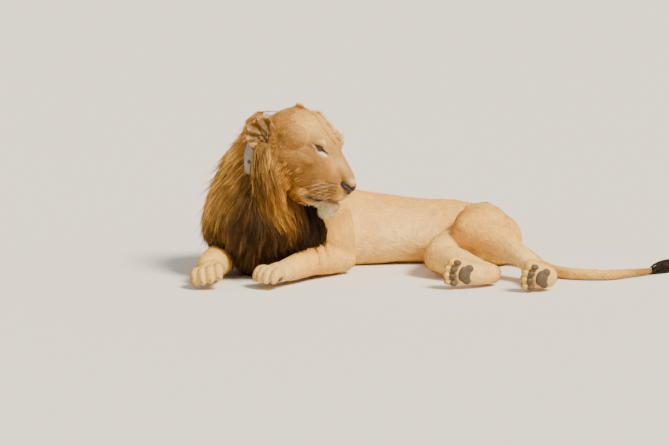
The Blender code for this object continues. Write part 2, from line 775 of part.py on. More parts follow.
def collar_block(name, turn, size, rounding, away):
    """A rounded block standing on the strap, turn degrees round from its top."""
    out, round_way, axis = collar_frame(turn)
    bm = bmesh.new()
    bmesh.ops.create_cube(bm, size=1.0)
    turned = Matrix((round_way, axis, out)).transposed().to_4x4()
    place = Matrix.Translation(collar_point(turn, away + size.z / 2, 0.0)) @ turned
    bm.transform(place @ Matrix.Diagonal((*size, 1.0)))
    mesh = bpy.data.meshes.new(name)
    bm.to_mesh(mesh)
    bm.free()
    obj = link(name, mesh)
    bevel = obj.modifiers.new("rounding", "BEVEL")
    bevel.width = rounding
    bevel.segments = 2
    return link(name, evaluated_mesh(obj))


def collar_nodes():
    strap = band("collar_strap", 0.0, COLLAR_THICKNESS, COLLAR_WIDTH)
    away = COLLAR_THICKNESS + CLEARANCE
    unit = collar_block("collar_unit", 0, UNIT_SIZE, UNIT_ROUNDING, away)
    size = Vector((2 * STUD_RADIUS, 2 * STUD_RADIUS, STUD_THICKNESS))
    stud = collar_block("collar_stud", STUD_TURN, size, STUD_THICKNESS * 0.4, away)
    return {"collar_strap": strap, "collar_unit": unit, "collar_stud": stud}


# ---------------------------------------------------------------- materials of the nodes
COLOURS = {
    "coat": ((0.62, 0.43, 0.22), 0.85),
    "face": ((0.60, 0.38, 0.17), 0.80),
    "mane": ((0.30, 0.16, 0.06), 0.85),
    "dark": ((0.05, 0.03, 0.02), 0.85),
    "eye": ((0.20, 0.09, 0.02), 0.08),
    "strap": ((0.32, 0.27, 0.25), 0.60),
    "unit": ((0.75, 0.74, 0.71), 0.45),
    "stud": ((0.08, 0.08, 0.08), 0.35),
}
LOOKS = {
    "head": "face",
    "lower_jaw": "face",
    "left_ear": "face",
    "right_ear": "face",
    "mane": "mane",
    "tail_tuft": "dark",
    "left_eye": "eye",
    "right_eye": "eye",
    "collar_strap": "strap",
    "collar_unit": "unit",
    "collar_stud": "stud",
}


def ear_rooms(place):
    """The room that each ear takes, its hollow filled."""
    rooms = []
    for side, _ in SIDES_OF_HEAD:
        radii = [radius + CLEARANCE for radius in EAR_RADII]
        centre = mirrored(EAR_CENTRE, side)
        rooms.append(scaled_ball("room", centre, radii, place, ear_turn(side)))
    return rooms


def main():
    clear_scene()
    place = head_matrix()
    flesh = rested(fused("flesh", "flesh", flesh_form))
    head = fused("head", "head", head_form, place)
    limbs, trunk = flesh_nodes(flesh)
    collar = collar_nodes()
    strap = collar["collar_strap"]
    rooms = ear_rooms(place)
    trunk["neck"] = cut_away(trunk["neck"], rooms)
    for name in ("neck", "chest"):
        trunk[name] = largest(clear_of(trunk[name], head, *collar.values()))
    done = [strap, *trunk.values()]
    for name in limbs:
        limbs[name] = trimmed(clear_of(limbs[name], head), done)
        done.append(limbs[name])
    heads = head_nodes(largest(clear_of(copy_of(head), *collar.values())), place, strap)
    groove = band("groove", -0.02, GROOVE_DEPTH, GROOVE_WIDTH, GROOVE_TURNS)
    mane = cut_away(rested(fused("mane", "mane", mane_form)), [groove, *rooms])
    mane = clear_of(mane, flesh, head, *collar.values(), gap=MANE_CLEARANCE)
    mane = trimmed(mane, [*limbs.values(), *trunk.values(), *heads.values()])
    for solid in (flesh, head, groove, *rooms):
        bpy.data.objects.remove(solid)
    finish({**heads, **trunk, **limbs, "mane": mane, **collar})


def finish(nodes):
    """Names, materials and the origin under the middle of the whole box."""
    low = Vector((min((v.co[k] for o in nodes.values() for v in o.data.vertices)) for k in range(3)))
    high = Vector((max((v.co[k] for o in nodes.values() for v in o.data.vertices)) for k in range(3)))
    shift = Vector((-(low.x + high.x) / 2, -(low.y + high.y) / 2, -low.z))
    for name, obj in nodes.items():
        obj.name = name
        obj.data.transform(Matrix.Translation(shift))
        colour, roughness = COLOURS[LOOKS.get(name, "coat")]
        obj.data.materials.clear()
        obj.data.materials.append(material(f"{name}_surface", colour, roughness))
        obj.data.shade_smooth()
        obj.data.set_sharp_from_angle(angle=SHARP_ANGLE)
        obj.data.update()


main()
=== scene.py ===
"""How the resting male lion looks: one skin in a short coat, a long mane in locks, eyes, claws and collar.

Metres. Everything is shaped where the solids of the part were drawn, and is moved by SHIFT at the end,
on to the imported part. Hair is closed mesh: short tufts on the body, pointed locks in the mane.
"""

import math

import bmesh
import bpy
import numpy as np
from mathutils import Matrix, Vector
from mathutils.bvhtree import BVHTree


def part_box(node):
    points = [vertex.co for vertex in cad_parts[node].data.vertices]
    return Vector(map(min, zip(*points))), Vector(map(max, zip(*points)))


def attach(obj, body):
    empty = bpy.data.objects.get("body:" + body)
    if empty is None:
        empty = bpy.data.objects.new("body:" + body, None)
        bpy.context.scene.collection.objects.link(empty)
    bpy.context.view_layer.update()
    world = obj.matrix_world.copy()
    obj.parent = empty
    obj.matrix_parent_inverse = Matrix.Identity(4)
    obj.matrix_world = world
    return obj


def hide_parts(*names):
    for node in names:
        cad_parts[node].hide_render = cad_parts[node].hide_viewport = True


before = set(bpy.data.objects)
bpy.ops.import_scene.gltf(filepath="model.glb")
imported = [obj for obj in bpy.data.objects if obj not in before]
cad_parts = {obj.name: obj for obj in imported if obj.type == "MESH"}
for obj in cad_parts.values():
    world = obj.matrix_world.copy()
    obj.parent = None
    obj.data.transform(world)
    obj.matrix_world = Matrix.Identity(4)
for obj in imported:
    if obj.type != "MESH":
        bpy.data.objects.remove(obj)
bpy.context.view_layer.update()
random = np.random.default_rng(7)

# ---------------------------------------------------------------- sizes of the forms and the coat
SHARE = 1.0
# How far the skin lies inside the solids: body, paws, tuft of the tail and skull.
COAT = 0.006
PAW_COAT = COAT * 0.6
TUFT_COAT, TUFT_CORE, SKULL_COAT = 0.014, 0.010, 0.004
MANE_DEPTH = 0.016
FLOOR_GAP = 0.0008
SIDES = 28
RINGS_PER_SPAN = 7
PATH_STEP = 0.05
BODY_VOXEL, PAW_VOXEL, HEAD_VOXEL = 0.0068, 0.0034, 0.0030
NOSE_VOXEL, PAD_VOXEL, CORE_VOXEL = 0.0015, 0.0026, 0.0090

HEAD_ORIGIN = Vector((-0.155, -0.015, 0.462))
HEAD_YAW, HEAD_PITCH, HEAD_ROLL = (math.radians(a) for a in (33.0, 15.0, -4.0))
HEAD_SCALE = 1.06
EYE_RADIUS = 0.0195
EYE_BALL = EYE_RADIUS / HEAD_SCALE
EYE_PLACE = Vector((0.0560, 0.1300, 0.0640))
EYE_OUTWARD = Vector((0.62, 0.78, 0.05)).normalized()
EYE_INNER, EYE_OUTER = (0.045, 0.155, 0.049), (0.070, 0.117, 0.065)
LID_REACH, LID_OPEN, LID_THICK = 1.02, 0.36, 0.0017
LID_ROLL, LID_ROLL_AT, LID_ROLL_WIDE = 0.0016, 0.12, 0.10
LID_MARGIN, SOCKET_REACH, EYE_AREA = 0.10, 0.050, 0.038
EAR_CENTRE = Vector((0.113, -0.068, 0.048))
EAR_OUTER, EAR_INNER = (0.026, 0.047, 0.062), (0.024, 0.043, 0.058)
EAR_OPEN, EAR_RAISED = 0.0135, 0.004
EAR_LEAN, EAR_TURN = math.radians(18), math.radians(40)
EAR_CANAL = np.array((0.102, -0.036, 0.026))

COLLAR_CENTRE = Vector((-0.235, 0.055, 0.437))
COLLAR_AXIS = Vector((0.83, -0.55, -0.06)).normalized()
COLLAR_RADII = (0.125, 0.128)
STRAP_SHOWS = 0.006

# ---------------------------------------------------------------- where the forms lie
# A station of a loft: its middle, half width, half depth, and the direction in which it is deep.
DOWN = (0.0, 0.0, -1.0)
BELLY = (0.02, -0.95, -0.30)
FORWARD = (0.0, -1.0, 0.0)
TRUNK = [
    ((-0.235, 0.050, 0.180), 0.112, 0.115, (-0.20, -0.30, -0.93)),
    ((-0.190, 0.160, 0.208), 0.156, 0.182, (-0.12, -0.25, -0.96)),
    ((-0.100, 0.275, 0.172), 0.156, 0.184, (-0.15, -0.60, -0.78)),
    ((0.030, 0.365, 0.138), 0.130, 0.182, (-0.10, -0.82, -0.55)),
    ((0.180, 0.405, 0.122), 0.120, 0.184, (0.0, -0.93, -0.36)),
    ((0.330, 0.405, 0.114), 0.116, 0.168, BELLY),
    ((0.460, 0.390, 0.112), 0.114, 0.156, BELLY),
    ((0.560, 0.360, 0.104), 0.100, 0.140, BELLY),
    ((0.620, 0.330, 0.090), 0.080, 0.105, BELLY),
]
NECK = [
    ((-0.200, 0.190, 0.270), 0.135, 0.150, (-0.2, -0.6, -0.78)),
    ((-0.250, 0.180, 0.345), 0.118, 0.126, (-0.1, -0.9, -0.30)),
    ((-0.262, 0.125, 0.420), 0.112, 0.120, (0.1, -0.8, -0.60)),
    ((-0.228, 0.065, 0.465), 0.106, 0.114, (0.0, -0.4, -0.90)),
]
TAIL = [
    ((0.640, 0.330, 0.070), 0.040, 0.044, DOWN),
    ((0.730, 0.215, 0.041), 0.029, 0.032, DOWN),
    ((0.775, 0.070, 0.028), 0.025, 0.027, DOWN),
    ((0.850, -0.026, 0.024), 0.024, 0.026, DOWN),
    ((0.980, -0.050, 0.022), 0.022, 0.024, DOWN),
    ((1.090, 0.010, 0.019), 0.019, 0.020, DOWN),
    ((1.165, 0.070, 0.016), 0.015, 0.017, DOWN),
]
TUFT = [
    ((1.150, 0.056, 0.016), 0.015, 0.017, DOWN),
    ((1.200, 0.100, 0.022), 0.028, 0.025, DOWN),
    ((1.250, 0.142, 0.024), 0.032, 0.027, DOWN),
    ((1.305, 0.180, 0.017), 0.015, 0.017, DOWN),
]
LEFT_ARM = [
    [
        ((-0.108, 0.150, 0.305), 0.060, 0.082, (0.7, -0.7, 0.0)),
        ((-0.062, 0.020, 0.275), 0.080, 0.098, (0.7, -0.7, 0.1)),
        ((-0.008, 0.045, 0.180), 0.068, 0.092, (0.8, 0.6, 0.0)),
        ((0.025, 0.085, 0.075), 0.052, 0.066, (0.8, 0.6, 0.0)),
    ],
    [
        ((0.030, 0.092, 0.060), 0.056, 0.058, DOWN),
        ((-0.050, 0.005, 0.072), 0.058, 0.066, DOWN),
        ((-0.125, -0.085, 0.062), 0.050, 0.054, DOWN),
        ((-0.170, -0.140, 0.054), 0.054, 0.046, DOWN),
    ],
]
RIGHT_ARM = [
    [
        ((-0.290, 0.190, 0.300), 0.060, 0.080, (-0.8, -0.5, 0.0)),
        ((-0.355, 0.080, 0.265), 0.080, 0.098, (-0.8, -0.5, 0.1)),
        ((-0.375, 0.140, 0.170), 0.068, 0.090, (-0.3, 0.9, 0.0)),
        ((-0.375, 0.215, 0.085), 0.052, 0.064, (-0.2, 0.9, 0.0)),
    ],
    [
        ((-0.375, 0.215, 0.070), 0.056, 0.060, DOWN),
        ((-0.402, 0.090, 0.070), 0.060, 0.066, DOWN),
        ((-0.430, -0.040, 0.066), 0.058, 0.062, DOWN),
        ((-0.440, -0.120, 0.066), 0.062, 0.054, DOWN),
    ],
]
LEFT_HIND = [
    [
        ((0.565, 0.330, 0.118), 0.100, 0.095, DOWN),
        ((0.555, 0.220, 0.152), 0.110, 0.092, DOWN),
        ((0.515, 0.110, 0.170), 0.090, 0.076, DOWN),
        ((0.490, 0.060, 0.168), 0.062, 0.058, DOWN),
    ],
    [
        ((0.490, 0.060, 0.165), 0.060, 0.058, (0.2, 1.0, 0.0)),
        ((0.580, 0.030, 0.140), 0.066, 0.070, (0.2, 1.0, 0.0)),
        ((0.665, -0.040, 0.095), 0.046, 0.048, (0.2, 1.0, 0.0)),
        ((0.705, -0.085, 0.064), 0.040, 0.046, (0.4, 0.9, 0.0)),
    ],
    [
        ((0.705, -0.075, 0.060), 0.038, 0.046, DOWN),
        ((0.722, -0.150, 0.054), 0.037, 0.042, DOWN),
        ((0.738, -0.225, 0.052), 0.042, 0.044, DOWN),
    ],
]
RIGHT_HIND = [
    [
        ((0.530, 0.330, 0.090), 0.100, 0.088, DOWN),
        ((0.470, 0.190, 0.088), 0.095, 0.085, DOWN),
        ((0.400, 0.060, 0.082), 0.072, 0.072, DOWN),
        ((0.378, 0.020, 0.076), 0.058, 0.062, DOWN),
    ],
    [
        ((0.378, 0.020, 0.072), 0.058, 0.060, DOWN),
        ((0.440, -0.040, 0.066), 0.058, 0.060, DOWN),
        ((0.520, -0.105, 0.050), 0.042, 0.044, DOWN),
        ((0.558, -0.150, 0.044), 0.036, 0.042, DOWN),
    ],
    [
        ((0.566, -0.155, 0.044), 0.036, 0.042, DOWN),
        ((0.530, -0.190, 0.046), 0.035, 0.043, DOWN),
        ((0.492, -0.212, 0.050), 0.037, 0.046, DOWN),
    ],
]
# A paw: its knuckles, the ways its toes and its back face, and its width.
PAWS = {
    "left_fore": ((-0.205, -0.184, 0.048), (-0.66, -0.75, -0.05), (-0.05, 0.0, 1.0), 0.136),
    "right_fore": ((-0.444, -0.180, 0.052), (-0.12, -0.98, -0.10), (-0.25, -0.05, 0.96), 0.138),
    "left_hind": ((0.722, -0.278, 0.054), (-0.92, -0.30, 0.12), (-0.30, 0.93, 0.15), 0.116),
    "right_hind": ((0.456, -0.224, 0.058), (-0.93, -0.22, 0.15), (-0.20, 0.95, 0.10), 0.116),
}
LIMBS = [LEFT_ARM, RIGHT_ARM, LEFT_HIND, RIGHT_HIND]
# A muscle: its middle and its half sizes.
MUSCLES = [
    ((0.010, 0.095, 0.160), (0.058, 0.075, 0.085)),
    ((-0.365, 0.190, 0.155), (0.060, 0.080, 0.085)),
    ((0.606, 0.292, 0.098), (0.106, 0.118, 0.104)),
]
MANE = [
    ((-0.238, 0.125, 0.500), 0.112, 0.124, FORWARD),
    ((-0.250, 0.132, 0.425), 0.164, 0.172, FORWARD),
    ((-0.236, 0.120, 0.350), 0.208, 0.204, FORWARD),
    ((-0.230, 0.090, 0.270), 0.244, 0.220, FORWARD),
    ((-0.234, 0.065, 0.190), 0.254, 0.212, FORWARD),
    ((-0.244, 0.050, 0.125), 0.225, 0.150, FORWARD),
    ((-0.252, 0.055, 0.088), 0.160, 0.085, FORWARD),
]
WITHERS = ((-0.200, 0.200, 0.330), (0.170, 0.175, 0.120))
# The skull from the back to the nose: forward, up, half width, half depth.
SKULL = [
    (-0.095, 0.000, 0.068, 0.066),
    (-0.062, 0.012, 0.098, 0.106),
    (-0.015, 0.016, 0.118, 0.142),
    (0.040, 0.008, 0.120, 0.138),
    (0.095, -0.006, 0.104, 0.124),
    (0.135, -0.020, 0.080, 0.104),
    (0.170, -0.036, 0.062, 0.086),
    (0.200, -0.048, 0.050, 0.070),
    (0.222, -0.058, 0.036, 0.048),
]
# The cheek locks and the throat, in the head's frame.
RUFF = [
    ((0.100, -0.040, 0.005), 0.034, 0.050, (0, 1, 0)),
    ((0.112, -0.015, -0.065), 0.036, 0.062, (0, 1, 0)),
    ((0.098, 0.030, -0.140), 0.032, 0.056, (0, 1, 0)),
    ((0.064, 0.080, -0.205), 0.014, 0.020, (0, 1, 0)),
]
THROAT = ((0.000, 0.070, -0.130), (0.074, 0.085, 0.052))


# ---------------------------------------------------------------- lofts and balls
def catmull_rom(values, u):
    """The values at stations, read at u stations from the first, as a smooth curve through them."""
    last = len(values) - 1
    i = min(int(u), last - 1)
    t = u - i
    p0, p1, p2, p3 = (np.asarray(values[min(max(k, 0), last)], float) for k in range(i - 1, i + 3))
    return 0.5 * (
        2 * p1 + (p2 - p0) * t + (2 * p0 - 5 * p1 + 4 * p2 - p3) * t**2 + (3 * p1 - p0 - 3 * p2 + p3) * t**3
    )


def path_at(stations, u):
    """A loft's path at u stations from its first, and its points just ahead of there and just behind."""
    centres = [station[0] for station in stations]
    ahead = min(u + PATH_STEP, len(stations) - 1)
    return [catmull_rom(centres, place) for place in (u, ahead, max(u - PATH_STEP, 0))]


def ring_points(centre, along, down, across, deep):
    """An oval ring round centre, across wide and deep down, in the plane that along is normal to."""
    side = along.cross(down).normalized()
    down = side.cross(along).normalized()
    turns = [2 * math.pi * k / SIDES for k in range(SIDES)]
    return [centre + side * across * math.cos(a) + down * deep * math.sin(a) for a in turns]


def dome(ring, way):
    """Shrinking rings that round off a tube beyond its last ring."""
    centre, along, down, across, deep = ring
    caps = []
    for share in (0.35, 0.68, 0.90):
        shrink = math.sqrt(1 - share * share)
        reach = share * min(across, deep) * way
        caps.append((centre + along * reach, along, down, across * shrink, deep * shrink))
    return caps


def skinned(bm, loops):
    """Faces between loops of equal length, with a face over the first and the last."""
    for one, two in zip(loops, loops[1:]):
        for k in range(len(one)):
            after = (k + 1) % len(one)
            bm.faces.new((one[k], one[after], two[after], two[k]))
    bm.faces.new(loops[0][::-1])
    bm.faces.new(loops[-1])


def loft(bm, stations, grow=0.0, level=False):
    """A closed round-ended tube through stations. Its rings are square to its path, or level."""
    last = len(stations) - 1
    count = last * RINGS_PER_SPAN
    sizes = [station[1:3] for station in stations]
    downs = [station[3] for station in stations]
    rings = []
    for k in range(count + 1):
        u = last * k / count
        centre, ahead, behind = (Vector(point) for point in path_at(stations, u))
        along = Vector(DOWN) if level else (ahead - behind).normalized()
        across, deep = catmull_rom(sizes, u) + grow
        rings.append((centre, along, Vector(catmull_rom(downs, u)), across, deep))
    rings = dome(rings[0], -1)[::-1] + rings + dome(rings[-1], 1)
    skinned(bm, [[bm.verts.new(p) for p in ring_points(*ring)] for ring in rings])


def ball(bm, centre, radii, turn=None, fineness=3):
    """An oval ball. turn is a 3 by 3 rotation."""
    place = Matrix.Translation(Vector(centre)) @ (turn.to_4x4() if turn else Matrix.Identity(4))
    shape = place @ Matrix.Diagonal((*radii, 1.0))
    bmesh.ops.create_icosphere(bm, subdivisions=fineness, radius=1.0, matrix=shape)


def facing(forward, up):
    """The rotation whose columns are sideways, forward and up."""
    forward = Vector(forward).normalized()
    side = forward.cross(Vector(up)).normalized()
    return Matrix((side, forward, side.cross(forward))).transposed()


def head_matrix():
    """The lion's right, forward and up as columns, at the head's place between the ears."""
    level = math.cos(HEAD_PITCH)
    forward = Vector((math.cos(HEAD_YAW) * level, -math.sin(HEAD_YAW) * level, -math.sin(HEAD_PITCH)))
    up = forward.cross(Vector((0, 0, 1)).cross(forward)).normalized()
    up = Matrix.Rotation(HEAD_ROLL, 3, forward) @ up
    turn = Matrix((up.cross(forward) * -1, forward, up)).transposed().to_4x4()
    return Matrix.Translation(HEAD_ORIGIN) @ turn @ Matrix.Scale(HEAD_SCALE, 4)


HEAD = head_matrix()
HEAD_TURN = np.array(HEAD)[:3, :3] / HEAD_SCALE


def ear_turn(side):
    """Each ear leans outwards and its opening faces forwards and out."""
    return Matrix.Rotation(side * EAR_LEAN, 3, "Y") @ Matrix.Rotation(side * EAR_TURN, 3, "Z")


def mirrored(centre, side):
    """A place on the right side of the head for side 1, and mirrored for side -1."""
    return (centre[0] * side, *centre[1:])


def both_sides(path):
    """A path on the right side of the head, and the same one mirrored."""
    return [[mirrored(point, side) for point in path] for side in (1, -1)]


# ---------------------------------------------------------------- meshes from forms
def link(name, mesh):
    """A new object in the scene."""
    obj = bpy.data.objects.new(name, mesh)
    bpy.context.scene.collection.objects.link(obj)
    return obj


def mesh_of(bm, name):
    """The drawn mesh, ready to be linked."""
    mesh = bpy.data.meshes.new(name)
    bm.to_mesh(mesh)
    bm.free()
    return mesh


def evaluated(obj):
    """The object's mesh with its modifiers applied. The object goes."""
    graph = bpy.context.evaluated_depsgraph_get()
    mesh = bpy.data.meshes.new_from_object(obj.evaluated_get(graph))
    bpy.data.objects.remove(obj)
    return mesh


def form_mesh(form, place=None):
    """The mesh that form(bm) draws, moved by place."""
    bm = bmesh.new()
    form(bm)
    bmesh.ops.recalc_face_normals(bm, faces=bm.faces)
    mesh = mesh_of(bm, "form")
    if place:
        mesh.transform(place)
    return mesh


def fused(name, form, voxel, relax):
    """The form's overlapping shapes as one skin of even fineness."""
    obj = link(name, form_mesh(form))
    remesh = obj.modifiers.new("fuse", "REMESH")
    remesh.mode = "VOXEL"
    remesh.voxel_size = voxel
    smooth = obj.modifiers.new("relax", "SMOOTH")
    smooth.factor = 0.5
    smooth.iterations = relax
    return link(name, evaluated(obj))


def read_points(mesh):
    """A mesh's points and their normals."""
    points = np.empty(len(mesh.vertices) * 3)
    normals = np.empty(len(mesh.vertices) * 3)
    mesh.vertices.foreach_get("co", points)
    mesh.vertices.foreach_get("normal", normals)
    return points.reshape(-1, 3), normals.reshape(-1, 3)


def write_points(mesh, points):
    """Moves a mesh's points."""
    mesh.vertices.foreach_set("co", points.ravel())
    mesh.update()


def read_triangles(mesh):
    """The three points of each of a mesh's triangles."""
    mesh.calc_loop_triangles()
    corners = np.empty(len(mesh.loop_triangles) * 3, np.int64)
    mesh.loop_triangles.foreach_get("vertices", corners)
    return corners.reshape(-1, 3)


def above_floor(obj):
    """Lifts what lies too low on to the floor."""
    points, _ = read_points(obj.data)
    points[:, 2] = np.maximum(points[:, 2], FLOOR_GAP)
    write_points(obj.data, points)
    return obj


def tree_of(obj):
    """A search tree of the object's faces."""
    points, _ = read_points(obj.data)
    return BVHTree.FromPolygons([Vector(p) for p in points], [tuple(f.vertices) for f in obj.data.polygons])


# ---------------------------------------------------------------- sums over many points at once
def unit(vectors):
    """The vectors at a length of 1."""
    return vectors / np.maximum(np.linalg.norm(vectors, axis=-1, keepdims=True), 1e-9)


def flat_to(normals, vectors):
    """The vectors laid along the surface that the normals stand on."""
    return unit(vectors - normals * (vectors * normals).sum(-1, keepdims=True))


def alike(vector, points):
    """The same vector for each of the points."""
    return np.tile(vector, (len(points), 1))


def smoothstep(low, high, x):
    """0 up to low and 1 from high on, and soft between them."""
    t = np.clip((x - low) / (high - low), 0, 1)
    return t * t * (3 - 2 * t)


def bell(points, middle, reach):
    """1 in the middle of a soft oval spot, and less and less away from it."""
    return np.exp(-(((points - np.array(middle)) / np.array(reach)) ** 2).sum(1))


def clumpy(points, scale, seed=0):
    """Cheap smooth noise: a few crossed sine waves with fixed random directions."""
    source = np.random.default_rng(100 + seed)
    total = np.zeros(len(points))
    for _ in range(7):
        wave = source.normal(size=3)
        wave *= 2 * math.pi / scale * (0.6 + 0.8 * source.random()) / np.linalg.norm(wave)
        total += np.sin(points @ wave + source.random() * 2 * math.pi)
    return total / 4.0


def distance_to(points, path):
    """Each point's distance to a path of straight runs, and how far along the path it is, from 0 to 1."""
    path = np.asarray(path, float)
    best = np.full(len(points), 1e9)
    along = np.zeros(len(points))
    runs = len(path) - 1
    for k in range(runs):
        step = path[k + 1] - path[k]
        t = np.clip((points - path[k]) @ step / (step @ step), 0, 1)
        far = np.linalg.norm(points - path[k] - t[:, None] * step, axis=1)
        nearer = far < best
        best = np.where(nearer, far, best)
        along = np.where(nearer, (k + t) / runs, along)
    return best, along


def raised(points, normals, path, width, height):
    """The points moved out by height along a path, or in where height is negative, softly over width."""
    far, along = distance_to(points, path)
    ends = np.clip(np.minimum(along, 1 - along) * 5 + 0.35, 0, 1) if len(path) > 2 else 1.0
    return points + normals * (height * np.exp(-((far / width) ** 2)) * ends)[:, None]


def toned(colours, colour, share):
    """The colours drawn towards another one, by a share at each point."""
    return colours + (colour - colours) * share[:, None]


def soft_spots(points, colours, marks):
    """The colours with soft spots laid over them, each a middle, half widths, a colour and its strength."""
    for middle, reach, colour, strength in marks:
        colours = toned(colours, colour, bell(points, middle, reach) * strength)
    return colours


def mottled(colours, mottle):
    """The colours made lighter and darker by a factor at each point."""
    return np.clip(colours * mottle[:, None], 0.004, 0.95)


# ---------------------------------------------------------------- hair as closed mesh
CHART = 0.30
PATCH = 0.003
STRAND_LOW, STRAND_HIGH = 0.15, 0.35


def patch_places(points, normals):
    """Where each root lies on an unwrap of the skin: six sides of the body, laid out two by three."""
    low = points.min(0)
    spread = (points.max(0) - low).max()
    axis = np.abs(normals).argmax(1)
    rows = np.arange(len(points))
    front = normals[rows, axis] > 0
    across = np.where(axis == 0, 1, 0)
    up = np.where(axis == 2, 1, 2)
    u = (points[rows, across] - low[across]) / spread
    v = (points[rows, up] - low[up]) / spread
    return np.stack([0.02 + axis * 0.33 + u * CHART, 0.02 + front * 0.48 + v * CHART * 1.4], 1)


def strand_faces(body):
    """The triangles of one strand of body three-cornered rings and a point."""
    faces = [(0, 2, 1)]
    for k in range(body - 1):
        for c in range(3):
            a, b = k * 3 + c, k * 3 + (c + 1) % 3
            faces += [(a, b, b + 3), (a, b + 3, a + 3)]
    last = (body - 1) * 3
    faces += [(last + c, last + (c + 1) % 3, body * 3) for c in range(3)]
    return np.array(faces)


def triangle_mesh(name, points, faces):
    """A smooth mesh of triangles, which faces lists by their points."""
    corners = faces.reshape(-1)
    mesh = bpy.data.meshes.new(name)
    mesh.vertices.add(len(points))
    mesh.vertices.foreach_set("co", points.reshape(-1))
    mesh.loops.add(len(corners))
    mesh.loops.foreach_set("vertex_index", corners.astype(np.int32))
    mesh.polygons.add(len(corners) // 3)
    mesh.polygons.foreach_set("loop_start", np.arange(0, len(corners), 3, dtype=np.int32))
    mesh.polygons.foreach_set("use_smooth", np.ones(len(corners) // 3, bool))
    mesh.update(calc_edges=True)
    return mesh


def strands(name, middles, sides, ups, widths, colours, places):
    """Closed pointed strands as one mesh. middles, sides, ups and colours are (strand, ring, 3), widths
    (strand, ring), and the last ring is the point. A strand is three-sided, half as thick as wide."""
    count, rings = middles.shape[:2]
    body = rings - 1
    low = middles[:, :body] - ups[:, :body] * widths[:, :body, None] * STRAND_LOW
    reach = sides[:, :body] * widths[:, :body, None] * 0.5
    top = middles[:, :body] + ups[:, :body] * widths[:, :body, None] * STRAND_HIGH
    ringed = np.stack([low + reach, low - reach, top], 2).reshape(count, body * 3, 3)
    points = np.concatenate([ringed, middles[:, -1:]], 1)
    each = body * 3 + 1
    faces = strand_faces(body)[None] + np.arange(count)[:, None, None] * each
    mesh = triangle_mesh(name, points.reshape(-1, 3), faces)
    ring_of = np.append(np.repeat(np.arange(body), 3), body)
    corner_of = np.append(np.tile(np.arange(3), body), 1)
    tint(mesh, colours[:, ring_of].reshape(-1, 3))
    spot = np.stack([ring_of / body - 0.5, corner_of / 2 - 0.5], 1) * PATCH
    uv = (places[:, None] + spot[None]).reshape(-1, 2)
    layer = mesh.uv_layers.new(name="OFBake")
    layer.data.foreach_set("uv", uv[faces.reshape(-1)].ravel())
    return link(name, mesh)


def tint(mesh, colours):
    """Stores the coat's colours, which skin and hair both take from the same markings."""
    layer = mesh.color_attributes.new("coat", "FLOAT_COLOR", "POINT")
    layer.data.foreach_set("color", np.concatenate([colours, np.ones((len(colours), 1))], 1).ravel())


def scatter(mesh, count, weight):
    """Roots spread over a mesh, more of them where weight(points, normals) is more."""
    points, normals = read_points(mesh)
    triangles = read_triangles(mesh)
    a, b, c = (points[triangles[:, k]] for k in range(3))
    area = np.linalg.norm(np.cross(b - a, c - a), axis=1) / 2
    chance = area * np.maximum(weight((a + b + c) / 3, unit(normals[triangles].sum(1))), 0)
    chosen = random.choice(len(triangles), count, p=chance / chance.sum())
    split = np.sort(random.random((count, 2)), axis=1)
    shares = np.stack([split[:, 0], split[:, 1] - split[:, 0], 1 - split[:, 1]], 1)
    roots = (points[triangles[chosen]] * shares[:, :, None]).sum(1)
    return roots, unit((normals[triangles[chosen]] * shares[:, :, None]).sum(1))


TUFT_SUNK = 0.0007
TUFT_THICKNESS = 0.7
TUFT_WANDER = 0.16
SHADE_TURN, SHADE_TILT = 0.32, 0.20


def tufts(name, roots, normals, lay, length, width, lift, colours, contrast=0.13):
    """Short coat: one pointed tuft at each root, lying along lay and rising by lift of its length.
    Their normals lean a little either way, so that each tuft takes the light as hair does."""
    count = len(roots)
    lay = flat_to(normals, lay + random.normal(0, TUFT_WANDER, (count, 3)))
    length = length * random.uniform(0.7, 1.25, count)
    rise = lift * random.uniform(0.4, 1.6, count)
    start = roots - normals * TUFT_SUNK
    tip = roots + (lay + normals * rise[:, None]) * length[:, None]
    tip[:, 2] = np.maximum(tip[:, 2], FLOOR_GAP)
    middles = np.stack([start, tip], 1)
    sides = np.repeat(np.cross(lay, normals)[:, None], 2, 1)
    ups = np.repeat(normals[:, None], 2, 1) * TUFT_THICKNESS
    widths = np.stack([width * random.uniform(0.7, 1.3, count), np.zeros(count)], 1)
    shade = np.exp(random.normal(0, contrast, (count, 1, 1)))
    ring_colours = colours[:, None] * np.array([1 - contrast, 1 + contrast])[None, :, None] * shade
    obj = strands(name, middles, sides, ups, widths, ring_colours, patch_places(roots, normals))
    turned = sides[:, 0] * random.normal(0, SHADE_TURN, (count, 1))
    leaning = unit(normals + turned + lay * random.normal(0.05, SHADE_TILT, (count, 1)))
    obj.data.normals_split_custom_set_from_vertices(np.repeat(leaning, 4, 0))
    return obj


def followed(tree, roots, flow, length, rings, lift, hang=0.0):
    """Paths that start at roots and run along flow over the surface, standing off it by lift.
    With hang their ends leave the surface and run on straight."""
    step = length / (rings - 1)
    at = roots.copy()
    middles = np.empty((len(roots), rings, 3))
    normals = np.empty((len(roots), rings, 3))
    for k in range(rings):
        found = [tree.find_nearest(Vector(p)) for p in at]
        surface = np.array([f[0] for f in found])
        up = np.array([f[1] for f in found])
        t = k / (rings - 1)
        stand = lift * (math.sin(math.pi * min(t * 1.15, 1.0) * 0.62) - 0.12)
        middles[:, k] = surface + up * stand
        normals[:, k] = up
        way = flat_to(up, flow(surface))
        if k == 0:
            straight = unit(flow(surface) + up * 0.25)
        free = roots + straight * (length * t)[:, None]
        middles[:, k] += (free - middles[:, k]) * hang * t
        at = surface + way * step[:, None]
    return middles, normals


